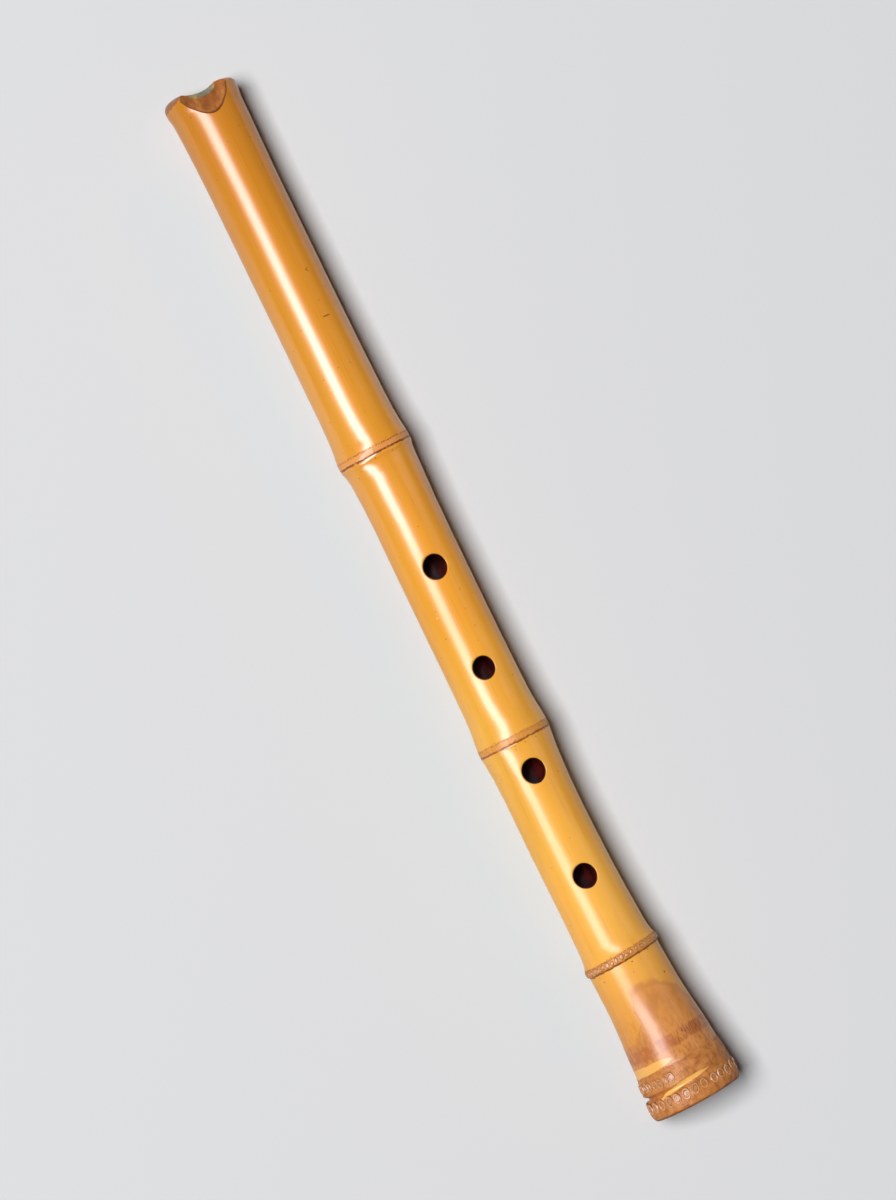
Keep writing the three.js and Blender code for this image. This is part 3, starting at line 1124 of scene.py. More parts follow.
    def _nodes(self, graph: Graph, colour: Socket, wandering: Socket) -> tuple[Socket, Socket]:
        """The tinted band, the dotted upper line and the scar line of each node.

        Args:
            graph: The finish.
            colour: The colour below.
            wandering: How far along the culm a place is, made uneven.

        Returns:
            The colour, and where the bands are.
        """
        dots = graph.patches(self.node_dots)
        breaks = graph.patches(self.line_breaks)
        mottled = graph.plus(1 - self.mottle_share, self.mottle_share, graph.patches(self.band_mottle))
        ragged = graph.astray(wandering, self.ragged, self.ragged_reach)
        scars = 0.0
        for tint in self.node_tints:
            node = tint.node
            scar = node.scar_station(FORM.length)
            top = node.place_share * FORM.length + tint.top_share * node.half_width
            inside = graph.near(wandering, (scar + top) / 2, (top - scar) / 2, self.band_soft)
            colour = graph.lay(colour, tint.band, inside, mottled)
            colour = graph.lay(colour, tint.dots, graph.near(wandering, top, *self.dots_zone), dots)
            reach = self.line_reach + self.line_scar_share * node.scar_width
            colour = graph.lay(colour, tint.line, graph.near(ragged, scar, reach, self.line_soft), breaks)
            scars = graph.math("MAXIMUM", scars, graph.times(inside, tint.band.share))
        return colour, scars

    def _patch(self, graph: Graph, colour: Socket, station: Socket, girth: Socket) -> Socket:
        """The brown patch over the root end, with its darker edge, its blotches and its mottling.

        Args:
            graph: The finish.
            colour: The colour below.
            station: How far along the culm a place is.
            girth: How far round it.

        Returns:
            The colour.
        """
        wavy = graph.astray(station, self.uneven, self.wavy_reach)
        drifting = graph.astray(girth, self.uneven, self.drift_reach)
        below = graph.minus(graph.curve(drifting, self.arch), wavy)
        colour = graph.lay(colour, self.patch, graph.band(below, *self.patch_way))
        colour = graph.lay(colour, self.patch_edge, graph.near(below, *self.edge_zone))
        blotches = graph.patches(self.blotches)
        colour = graph.lay(colour, self.blotch, blotches, graph.band(below, *self.blotch_way))
        return graph.lay(colour, self.mottle, graph.patches(self.mottles), graph.band(wavy, *self.mottle_way))

    def _root_tissue(
        self, graph: Graph, colour: Socket, station: Socket, girth: Socket,
    ) -> tuple[Socket, Socket]:
        """The fibrous ring, and below it the root tissue with its two pale stripes and its dark edge.

        Args:
            graph: The finish.
            colour: The colour below.
            station: How far along the culm a place is.
            girth: How far round it.

        Returns:
            The colour, and where the tissue is rough.
        """
        fine = graph.astray(station, self.uneven, self.fine_reach)
        fibrous = graph.near(fine, *self.fibre_zone)
        colour = graph.lay(colour, self.fibres, fibrous, graph.patches(self.fibre_patches))
        combed = graph.times(graph.patches(self.fibre_gaps), fibrous)
        colour = graph.lay(colour, self.fibre_gap, combed, graph.band(girth, *self.gap_way))
        ring = graph.band(fine, *self.root_way)
        tissue = graph.ramp(graph.cloud(self.root_clouds), self.root_stops)
        colour = graph.lay(colour, Layer(tissue, self.root_share), ring)
        bare = 1.0
        for stripe in self.stripes:
            away = graph.math("ABSOLUTE", graph.minus(fine, graph.curve(girth, stripe.middle)))
            inside = graph.minus(graph.curve(girth, stripe.half_width), away)
            share = graph.band(inside, 0, self.stripe_soft)
            colour = graph.lay(colour, stripe.layer, share)
            bare = graph.math("MINIMUM", bare, graph.minus(1, share))
        colour = graph.lay(colour, self.root_edge, graph.band(fine, *self.root_edge_way))
        return colour, graph.times(ring, bare)

    def _worn_mouth(self, graph: Graph, colour: Socket, wandering: Socket, girth: Socket) -> Socket:
        """The shoulder of the mouth, worn through to the brown, with a dotted line where the skin ends.

        Args:
            graph: The finish.
            colour: The colour below.
            wandering: How far along the culm a place is, made uneven.
            girth: How far round it.

        Returns:
            The colour.
        """
        past = graph.minus(wandering, graph.curve(girth, self.worn_from))
        colour = graph.lay(colour, self.worn, graph.band(past, *self.worn_way))
        dots = graph.patches(self.worn_dots)
        return graph.lay(colour, self.worn_line, graph.near(past, *self.worn_zone), dots)

    def _pores(self, graph: Graph, colour: Socket, station: Socket) -> Socket:
        """Dark pores, scattered over the skin and closer together beside the nodes.

        Args:
            graph: The finish.
            colour: The colour below.
            station: How far along the culm a place is.

        Returns:
            The colour.
        """
        for pores in self.pores:
            colour = graph.lay(colour, self.pore, graph.dots(pores))
        dots = graph.dots(self.node_pores)
        below, reach, soft = self.node_pore_zone
        for node in NODES:
            beside = graph.near(station, node.place_share * FORM.length + below, reach, soft)
            colour = graph.lay(colour, self.node_pore, dots, beside)
        return colour

    def _marks(self, graph: Graph, colour: Socket, station: Socket, girth: Socket) -> Socket:
        """The nicks and the fine crack.

        Args:
            graph: The finish.
            colour: The colour below.
            station: How far along the culm a place is.
            girth: How far round it.

        Returns:
            The colour.
        """
        for mark in self.marks:
            turn = math.radians(mark.degrees)
            along, around = graph.minus(station, mark.station), graph.minus(girth, mark.girth)
            long = graph.plus(graph.times(along, math.cos(turn)), math.sin(turn), around)
            broad = graph.plus(graph.times(along, -math.sin(turn)), math.cos(turn), around)
            long = graph.math("POWER", graph.math("DIVIDE", long, mark.half_length), 2)
            broad = graph.math("POWER", graph.math("DIVIDE", broad, mark.half_breadth), 2)
            inside = graph.band(graph.math("ADD", long, broad), *self.mark_way)
            colour = graph.lay(colour, mark.layer, inside)
        return colour


@dataclass(frozen=True)
class CutBamboo:
    """Cut bamboo: brown, with its fibres' ends as dots, and a dark line where the cut meets the skin."""

    stops: Stops = ((0.3, tone(128, 71, 30)), (0.5, tone(170, 99, 45)), (0.72, tone(198, 130, 64)))
    clouds: Patches = Patches((60, 220, 220), detail=3, rough=0.6)
    bundle: Layer = Layer(tone(128, 71, 30), 0.55)
    bundle_scale: Triple = (120, 1500, 1500)
    bundle_way: Pair = (0.42, 0.2)
    chance_way: Pair = (0.2, 0.6)
    thread: Layer = Layer(tone(198, 130, 64), 0.3)
    threads: Patches = Patches((60, 2600, 2600), 0.5, 0.8, 2, 0.6)
    thread_height: float = 0.00006
    edge: Layer = Layer(tone(98, 48, 20), 0.8)
    edge_shares: Pair = (1.5, 0.5)
    edge_width: float = 0.0005
    mouth_share: float = 0.95
    skin_steps: int = 8
    roughness: float = 0.42
    coat_weight: float = 0.45
    coat_roughness: float = 0.22

    def build(self) -> bpy.types.Material:
        """Makes the material.

        Returns:
            The material.
        """
        graph = Graph("bamboo_cut")
        colour = graph.ramp(graph.cloud(self.clouds), self.stops)
        away, chance = graph.cells(self.bundle_scale)
        bundles = graph.band(away, *self.bundle_way)
        colour = graph.lay(colour, self.bundle, bundles, graph.band(chance, *self.chance_way))
        colour = graph.lay(colour, self.thread, graph.patches(self.threads))
        graph.set(
            Base_Color=graph.lay(colour, self.edge, *self._near_skin(graph)),
            Roughness=self.roughness,
            Coat_Weight=self.coat_weight,
            Coat_Roughness=self.coat_roughness,
            Normal=graph.bump(graph.cloud(self.threads), self.thread_height),
        )
        return graph.material

    def _near_skin(self, graph: Graph) -> tuple[Socket, Socket]:
        """Where the line along the skin runs.

        Args:
            graph: The finish.

        Returns:
            How close a place is to the skin, and whether it is near the mouth.
        """
        centre = FORM.centre_at(FORM.length)
        x, y, z = graph.apart(graph.place)
        station = graph.minus(x, FORM.laid_at[0])
        left = graph.math("ABSOLUTE", graph.minus(y, centre.y))
        front = graph.math("DIVIDE", graph.minus(z, centre.z), FORM.depth_share)
        squares = graph.math("ADD", graph.math("POWER", left, 2), graph.math("POWER", front, 2))
        steps = (i / self.skin_steps for i in range(self.skin_steps + 1))
        places = [FORM.length * (self.mouth_share + step * (1 - self.mouth_share)) for step in steps]
        skin = graph.curve(station, [(place, FORM.radius_at(place)) for place in places])
        depth = graph.minus(skin, graph.math("SQRT", squares))
        outer, inner = self.edge_shares
        by_skin = graph.band(depth, outer * self.edge_width, inner * self.edge_width)
        return by_skin, graph.band(station, places[0], places[0] + self.edge_width)


@dataclass(frozen=True)
class RootStub:
    """A cut root: its bark, partly painted shade; its rim, partly a painted highlight; or its heart."""

    name: str
    ground: Colour
    light: Colour
    levels: Pair = (0.32, 0.68)
    clouds: Patches = Patches((700, 700, 700), detail=3, rough=0.6)
    height: float = 0.00012
    roughness: float = 0.4
    coat_weight: float = 0.5
    coat_roughness: float = 0.26
    coat_ior: float = 1.6

    def build(self) -> bpy.types.Material:
        """Makes the material.

        Returns:
            The material.
        """
        graph = Graph(self.name)
        cloud = graph.cloud(self.clouds)
        graph.set(
            Base_Color=graph.ramp(cloud, tuple(zip(self.levels, (self.ground, self.light)))),
            Roughness=self.roughness,
            Coat_Weight=self.coat_weight,
            Coat_Roughness=self.coat_roughness,
            Coat_IOR=self.coat_ior,
            Normal=graph.bump(cloud, self.height),
        )
        return graph.material


ROOT_STUBS = (
    # Rims: paler cut tissue with a painted highlight along the raised top.
    RootStub("stub_rim_and_painted_highlight", tone(198, 132, 74), tone(222, 164, 104)),
    RootStub("stub_heart", tone(166, 100, 48), tone(198, 132, 72)),
    # Bark: dark bark at the stubs' feet, with painted shade in the gaps between them.
    RootStub("stub_bark_and_painted_shade", tone(116, 66, 32), tone(148, 90, 48)),
)


@dataclass(frozen=True)
class Clouded:
    """A finish of one colour under clouds of others, with a fine relief and its own gloss."""

    name: str
    ground: Colour
    layers: tuple[tuple[Layer, Patches], ...]
    relief: Patches
    height: float
    gloss: tuple[tuple[str, float], ...]

    def build(self) -> bpy.types.Material:
        """Makes the material.

        Returns:
            The material.
        """
        graph = Graph(self.name)
        colour = self.ground
        for layer, pattern in self.layers:
            colour = graph.lay(colour, layer, graph.patches(pattern))
        slope = graph.bump(graph.cloud(self.relief), self.height)
        graph.set(Base_Color=colour, Normal=slope, **dict(self.gloss))
        return graph.material


HORN_LAYERS = Patches((300, 300, 2600), 0.52, 0.36)
# Pale buffalo horn: greyish green, clouded with yellow, and finely layered
HORN = Clouded(
    "horn", tone(140, 138, 116),
    (
        (Layer(tone(196, 158, 92)), Patches((160, 190, 160), 0.52, 0.66, 3, 0.6, (1, 0, 2))),
        (Layer(tone(98, 92, 72), 0.5), HORN_LAYERS),
    ),
    HORN_LAYERS, 0.00002,
    (
        ("Roughness", 0.3), ("Coat_Weight", 0.7), ("Coat_Roughness", 0.1),
        ("Subsurface_Weight", 0.15), ("Subsurface_Scale", 0.001),
    ),
)
# Dark red lacquer, brushed on: faintly rippled, with thinner, redder places
RED_LACQUER = Clouded(
    "red_lacquer", tone(44, 8, 6),
    ((Layer(tone(86, 19, 12)), Patches((90, 260, 260), 0.42, 0.68, 3, 0.55)),),
    Patches((120, 700, 700), shift=(2, 2, 2)), 0.00005,
    (("Roughness", 0.5), ("Specular_IOR_Level", 0.3), ("Coat_Weight", 0.12), ("Coat_Roughness", 0.25)),
)
# Stone powder bound with lacquer: matte, grainy and greyish brown
PASTE_GRAIN = Patches((2600, 2600, 2600), 0.52, 0.66, 3, 0.7)
BORE_PASTE = Clouded(
    "bore_paste", tone(118, 98, 80),
    (
        (Layer(tone(92, 72, 56), 0.5), Patches((110, 110, 110), 0.3, 0.7)),
        (Layer(tone(168, 150, 126)), PASTE_GRAIN),
    ),
    PASTE_GRAIN, 0.0001,
    (("Roughness", 0.85),),
)


@dataclass(frozen=True)
class PaleFloor:
    """The plain pale table under the flute."""

    colour: Colour = tone(219, 220, 222)
    second: Layer = Layer(tone(214, 214, 216), 0.12)
    clouds: Patches = Patches((1.6, 1.6, 1.6), 0.3, 0.7, 1, 0.4)
    beside: Layer = Layer(tone(211, 218, 222))
    along_zone: Triple = (0, 0.21, 0.08)
    across_zone: Triple = (0.026, 0.004, 0.045)
    roughness: float = 0.9
    specular: float = 0.1

    def build(self) -> bpy.types.Material:
        """Makes the material, with a cooler tone where the bamboo throws its warm light.

        Returns:
            The material.
        """
        graph = Graph("pale_floor")
        x, y, _ = graph.apart(graph.place)
        colour = graph.lay(self.colour, self.second, graph.patches(self.clouds))
        beside = graph.near(x, *self.along_zone), graph.near(y, *self.across_zone)
        graph.set(
            Base_Color=graph.lay(colour, self.beside, *beside),
            Roughness=self.roughness,
            Specular_IOR_Level=self.specular,
        )
        return graph.material


# The pieces


@dataclass
class Culm:
    """The bamboo itself: a flat sheet of skin is pierced, rolled up, closed, cut and hollowed.

    The steps say how far apart the sheet's rows are, each up to a reach from what it is named for.
    """

    form: Form
    columns: int = 144
    seam_degrees: float = -90.0
    plain_step: float = 0.003
    node_steps: Line = ((0.0042, 0.00033), (0.013, 0.001))
    hole_steps: Line = ((0.004, 0.0011),)
    root_steps: Line = ((0.028, 0.0006), (0.06, 0.0014))
    mouth_steps: Line = ((0.013, 0.0008), (0.03, 0.0016))
    lip: float = 0.0004
    lip_steps: int = 3
    window_margin: float = 0.0024
    window_rings: int = 4
    end_rings: int = 6
    rim_rings: int = 14
    rim_gap: float = 0.0004
    core_radius: float = 0.004
    hole_gap: float = 0.00003
    inlay_gap: float = 0.00003
    sink_reach: float = 1.6
    level_limit: float = 0.3
    seat: float = 0.0008
    paste_seat: float = 0.0025
    lacquer_top: float = 0.5373
    half_diaphragm: float = 0.0035
    paste_stop: float = 0.515
    bore_sides: int = 96
    bore_step: float = 0.009
    overrun: float = 0.006
    crease_degrees: float = 32

    def build(self) -> Object:
        """Models the culm and gives it its finishes.

        Returns:
            The culm.
        """
        sheet = self._sheet()
        for hole in HOLES:
            self._pierce(sheet, hole)
        self._chart(sheet)
        self._roll(sheet)
        self._close(sheet)
        for hole in HOLES:
            self._sink(sheet, hole)
        point_outwards(sheet)
        Mouth(self.form).cut(sheet)
        for ring in ROOT_RINGS:
            ring.add_to(sheet, self.form)
        combine(sheet, self._inside(), "DIFFERENCE")
        combine(sheet, Inlay(self.form).body(self.inlay_gap), "DIFFERENCE")
        dress(sheet, [finish.build() for finish in (BambooSkin(), CutBamboo(), *ROOT_STUBS)])
        self._keep_cuts_crisp(sheet)
        smooth(sheet, self.crease_degrees)
        sheet.name = "culm"
        return sheet

    def _keep_cuts_crisp(self, sheet: Object) -> None:
        """Marks the edges between the skin and the cut bamboo, however little they turn.

        Args:
            sheet: The sheet.
        """

        def borders_cut(edge: bmesh.types.BMEdge) -> bool:
            """Whether only one side of an edge is cut."""
            return len({face.material_index == Surface.CUT for face in edge.link_faces}) > 1

        with editing(sheet, "EDGE"):
            pick(sheet, "edges", borders_cut)
            bpy.ops.mesh.mark_sharp()

    def _step(self, station: float) -> float:
        """How far the next row of the sheet is: short where the shape turns quickly.

        Args:
            station: Where this row is.

        Returns:
            The step to the next.
        """
        length = self.form.length
        tables = [(abs(station - node.place_share * length), self.node_steps) for node in NODES]
        for hole in HOLES:
            tables.append((abs(station - hole.place_share * length) - hole.radius, self.hole_steps))
        tables += [(station, self.root_steps), (length - station, self.mouth_steps)]
        steps = [step for away, table in tables for reach, step in table if away < reach]
        return min(steps, default=self.plain_step)

    def _rows(self) -> list[float]:
        """The station of each row. Rows past an end lie on the end's face.

        Returns:
            The stations, where each metre past an end stands for the whole way to the face's middle.
        """
        form = self.form
        rows = [-(self.end_rings - i) / self.end_rings for i in range(self.end_rings)]
        station = 0.0
        while station < form.rim_start - self.rim_gap:
            rows.append(station)
            station += self._step(station)
        drop = form.length - form.rim_start
        for i in range(self.rim_rings + 1):
            rows.append(form.rim_start + drop * math.sin(i / self.rim_rings * math.pi / 2))
        rows += [form.length + (i + 1) / self.end_rings for i in range(self.end_rings)]
        return rows

    def _sheet(self) -> Object:
        """Lays out the skin: stations along X, girth along Y, and height above it along Z.

        Returns:
            The flat grid.
        """
        rows = np.array(self._rows())
        last = len(rows) - 1
        grid = bpy.ops.mesh.primitive_grid_add
        sheet = start(grid, x_subdivisions=last, y_subdivisions=self.columns, size=1)
        flat = points_of(sheet)
        row = np.rint((flat[:, 0] + 0.5) * last).astype(int)
        turn = math.radians(self.seam_degrees) + (flat[:, 1] + 0.5) * math.tau
        flat[:, 0] = rows[row]
        flat[:, 1] = turn * self.form.half_breadth
        move_points(sheet, flat)
        sheet.data.uv_layers[0].name = SHEET_MAP
        return sheet

    def _pierce(self, sheet: Object, hole: Hole) -> None:
        """Opens a window in the sheet, and draws its edge in to a round hole with a rolled lip.

        Args:
            sheet: The flat sheet.
            hole: The hole.
        """
        form = self.form
        station = hole.place_share * form.length
        girth = 0.0 if hole.facing is Facing.FRONT else math.pi * form.half_breadth
        reach = Collar(form, hole).outer_at_skin + self.hole_gap + self.lip
        margin = reach + self.window_margin

        def inside(face: bmesh.types.BMFace) -> bool:
            """Whether a face lies in the window."""
            middle = face.calc_center_median()
            return abs(middle.x - station) < margin and abs(middle.y - girth) < margin

        def around(edge: bmesh.types.BMEdge) -> bool:
            """Whether an edge runs around the window."""
            near = all(math.hypot(v.co.x - station, v.co.y - girth) < 2 * margin for v in edge.verts)
            return near and edge.is_boundary

        with editing(sheet):
            pick(sheet, "faces", inside)
            bpy.ops.mesh.delete(type="FACE")
            bpy.ops.mesh.select_mode(type="EDGE")
            pick(sheet, "edges", around)
            for left in range(self.window_rings, 0, -1):
                bpy.ops.mesh.extrude_region_move()
                self._draw_in(sheet, hole, Vector((station, girth)), reach, 1 / left)
            width = reach
            for step in range(1, self.lip_steps + 1):
                before, turn = ((step - i) / self.lip_steps * math.pi / 2 for i in (1, 0))
                down = self.lip * (math.cos(before) - math.cos(turn))
                narrow = reach - self.lip * math.sin(turn)
                extrude(-down, narrow / width, (station, girth, 0))
                width = narrow

    def _draw_in(self, sheet: Object, hole: Hole, centre: Vector, reach: float, share: float) -> None:
        """Moves the selected edge towards the round that a straight drill cuts in the rolled skin.

        Args:
            sheet: The flat sheet, in edit mode.
            hole: The hole.
            centre: Its station and girth.
            reach: The radius of the round.
            share: How much of the way the edge goes.
        """
        form = self.form
        radius = form.radius_at(centre.x)
        lean = float(form.lean.at(np.array(hole.place_share)))
        mesh = bmesh.from_edit_mesh(sheet.data)
        for vert in mesh.verts:
            if vert.select:
                way = (vert.co.xy - centre).normalized() * reach
                round_place = Vector((
                    centre.x + way.x * Collar.length_share - hole.facing * way.y * lean,
                    centre.y + math.asin(way.y / radius) * form.half_breadth,
                    vert.co.z,
                ))
                vert.co = vert.co.lerp(round_place, share)
        bmesh.update_edit_mesh(sheet.data)

    def _chart(self, sheet: Object) -> None:
        """Keeps the flat sheet's own coordinates as the skin's map, and marks the end faces.

        Args:
            sheet: The sheet.
        """
        flat = points_of(sheet)[:, :2]
        corners = np.empty(len(sheet.data.loops), int)
        sheet.data.loops.foreach_get("vertex_index", corners)
        sheet.data.uv_layers[SHEET_MAP].data.foreach_set("uv", flat[corners].reshape(-1))
        dress(sheet, blanks())
        length = self.form.length
        mark_faces(sheet, Surface.CUT, lambda face: not -TINY < face.center.x < length + TINY)

    def _roll(self, sheet: Object) -> None:
        """Rolls the flat sheet up into the culm's own form.

        Args:
            sheet: The sheet.
        """
        form = self.form
        station, girth, lift = points_of(sheet).T
        angle = girth / form.half_breadth
        held = np.clip(station, 0, form.length)
        past = np.maximum(-station, station - form.length).clip(0, 1)
        radius = (form.skin(station, angle) + lift) * (1 - past) + self.core_radius * past
        x, z = radius * np.sin(angle), radius * np.cos(angle) * form.depth_share
        move_points(sheet, form.carry(x, held - form.chin(held, z), z))

    def _close(self, sheet: Object) -> None:
        """Joins the rolled sheet's two long edges and fills its ends.

        Args:
            sheet: The sheet.
        """
        limit = self.form.length / 2 - 2 * self.core_radius
        with editing(sheet, "EDGE"):
            bpy.ops.mesh.select_all(action="SELECT")
            bpy.ops.mesh.remove_doubles(threshold=TINY)
            for end in (-1, 1):

                def outer(edge: bmesh.types.BMEdge) -> bool:
                    """Whether an edge runs around this end's opening."""
                    return edge.is_boundary and all(end * v.co.x > limit for v in edge.verts)

                pick(sheet, "edges", outer)
                bpy.ops.mesh.edge_face_add()

    def _sink(self, sheet: Object, hole: Hole) -> None:
        """Takes a hole's edge straight down to the middle of the bore, and closes it there.

        Args:
            sheet: The closed sheet.
            hole: The hole.
        """
        collar = Collar(self.form, hole)
        centre = collar.centre
        reach = self.sink_reach * hole.radius

        def around(edge: bmesh.types.BMEdge) -> bool:
            """Whether an edge runs around the hole."""
            for vert in edge.verts:
                if (vert.co.xy - centre.xy).length > reach or hole.facing * (vert.co.z - centre.z) < 0:
                    return False
            return edge.is_boundary

        def wall(face: bpy.types.MeshPolygon) -> bool:
            """Whether a face is part of the hole's wall."""
            level = abs(face.normal.z) < self.level_limit and (face.center.xy - centre.xy).length < reach
            return level and hole.facing * (face.center.z - centre.z) > 0

        with editing(sheet, "EDGE"):
            pick(sheet, "edges", around)
            bpy.ops.mesh.extrude_region_move()
            spread = collar.spread
            bpy.ops.transform.resize(value=(spread, spread, 0), center_override=centre)
            bpy.ops.mesh.edge_face_add()
        mark_faces(sheet, Surface.CUT, wall)

    def _inside(self) -> Object:
        """Models the drilled bore with the hollows between the nodes.

        Returns:
            One body to take away.
        """
        form, half = self.form, self.half_diaphragm
        stops = [node.place_share * form.length for node in NODES] + [self.paste_stop + half]
        breaks = [(-self.overrun, self.seat)]
        for low, high in zip(stops, stops[1:]):
            start_at, end_at = low + half, high - half
            breaks += [(start_at, self.seat), (start_at, self.paste_seat)]
            breaks += [(end_at, self.paste_seat), (end_at, self.seat)]
        breaks += [(self.lacquer_top, self.seat), (self.lacquer_top, 0), (form.length + self.overrun, 0)]
        rings = []
        for (low, margin), (high, _) in zip(breaks, breaks[1:]):
            count = max(1, math.ceil((high - low) / self.bore_step))
            rings += [(low + (high - low) * i / count, margin) for i in range(count)]
        rings.append(breaks[-1])
        outline = [(form.bore_at(height) + margin, height) for height, margin in rings]
        return bent(ring_body("inside", outline, self.bore_sides, hollow=False), form, Surface.CUT)


def bent(body: Object, form: Form, surface: Surface = Surface.SKIN) -> Object:
    """Bends a body of revolution, drawn about Z, onto the culm's own line.

    Args:
        body: The body.
        form: The culm's form.
        surface: What the body leaves on a culm that it cuts.

    Returns:
        The same body.
    """
    x, z, station = points_of(body).T
    move_points(body, form.carry(x, station, z))
    return bare(body, surface)


def bare(body: Object, surface: Surface = Surface.CUT) -> Object:
    """Readies a tool: its faces point outwards, and all leave one surface where it cuts.

    Args:
        body: The tool.
        surface: The surface that it leaves.

    Returns:
        The same body.
    """
    dress(body, blanks())
    mark_faces(body, surface, lambda face: True)
    point_outwards(body)
    return body


@dataclass(frozen=True)
class Collar:
    """The lacquered wall of one hole, a ring from just under the skin down to the bore's coat."""

    form: Form
    hole: Hole
    thickness: float = 0.0005
    undercut: float = 0.0005
    overrun: float = 0.006
    bore_coat: float = 0.0005
    recess: float = 0.00055
    round_steps: int = 3
    sides: int = 72
    length_share: float = 1.06
    crease_degrees: float = 50

    @property
    def station(self) -> float:
        """Where the hole is along the culm."""
        return self.hole.place_share * self.form.length

    @property
    def centre(self) -> Vector:
        """The hole's place on the culm's middle line."""
        return self.form.centre_at(self.station)

    @property
    def skin_height(self) -> float:
        """How far the skin is from the middle line."""
        return self.form.radius_at(self.station) * self.form.depth_share

    @property
    def outer_at_skin(self) -> float:
        """The radius of the lacquer's outside, where the hole opens."""
        return self.open_radius(self.skin_height) + self.thickness

    @property
    def spread(self) -> float:
        """How much wider the hole is at the middle line than at the skin."""
        return (self.open_radius(0) + self.thickness) / self.outer_at_skin

    def open_radius(self, height: float) -> float:
        """The radius of the air, which widens towards the bore.

        Args:
            height: How far from the middle line.

        Returns:
            The radius there.
        """
        top = self.form.half_breadth + self.overrun
        wall = self.form.half_breadth - self.form.bore_at(self.station)
        return self.hole.radius + self.undercut * (top - height) / wall

    def body(self) -> Object:
        """Models the ring.

        Returns:
            The ring, in its place.
        """
        top = self.skin_height - self.recess
        inner, outer = self.open_radius(top), self.open_radius(top) + self.thickness
        half = self.thickness / 2
        rings = [(self.open_radius(0) + self.thickness, 0), (outer, top - half)]
        for step in range(1, self.round_steps * 2):
            turn = step / (self.round_steps * 2) * math.pi
            rings.append((inner + half + half * math.cos(turn), top - half + half * math.sin(turn)))
        rings += [(inner, top - half), (self.open_radius(0), 0), rings[0]]
        ring = ring_body(self.hole.name.replace("_lacquer", "_wall"), rings, self.sides, hollow=True)
        self._seat(ring, top)
        smooth(ring, self.crease_degrees)
        return ring

    def drill(self, depth: float) -> Object:
        """Models the air of the hole, as a body to take away from the bore's coat.

        Args:
            depth: How far it reaches out from the middle line.

        Returns:
            The body, in its place.
        """
        rings = [(self.open_radius(0), 0), (self.open_radius(0), depth)]
        drill = ring_body("drill", rings, self.sides, hollow=False)
        x, y, z = points_of(drill).T
        return self._placed(drill, x, y, z)

    def _placed(self, body: Object, along: np.ndarray, across: np.ndarray, out: np.ndarray) -> Object:
        """Puts a body's vertices around the hole.

        Args:
            body: The body.
            along: How far each vertex is along the culm, before the hole is drawn out.
            across: How far it is to the player's right.
            out: How far it is from the middle line, towards the hole's own side.

        Returns:
            The same body, closed and facing outwards.
        """
        centre, facing = self.centre, self.hole.facing
        places = [centre.x + along * self.length_share, centre.y + across, centre.z + facing * out]
        move_points(body, np.stack(places, axis=-1))
        point_outwards(body)
        return body

    def _seat(self, ring: Object, top: float) -> None:
        """Bends the ring's top along the skin and its foot along the bore's coat.

        Args:
            ring: The ring, drawn about Z.
            top: Its height.
        """
        x, y, z = points_of(ring).T
        radius = self.form.radius_at(self.station)
        coat = self.form.bore_at(self.station) + self.bore_coat
        foot = np.sqrt(np.clip(coat**2 - x**2, 0, None))
        dip = self.form.depth_share * (radius - np.sqrt(radius**2 - x**2))
        self._placed(ring, y, -x, foot + z / top * (top - dip - foot))


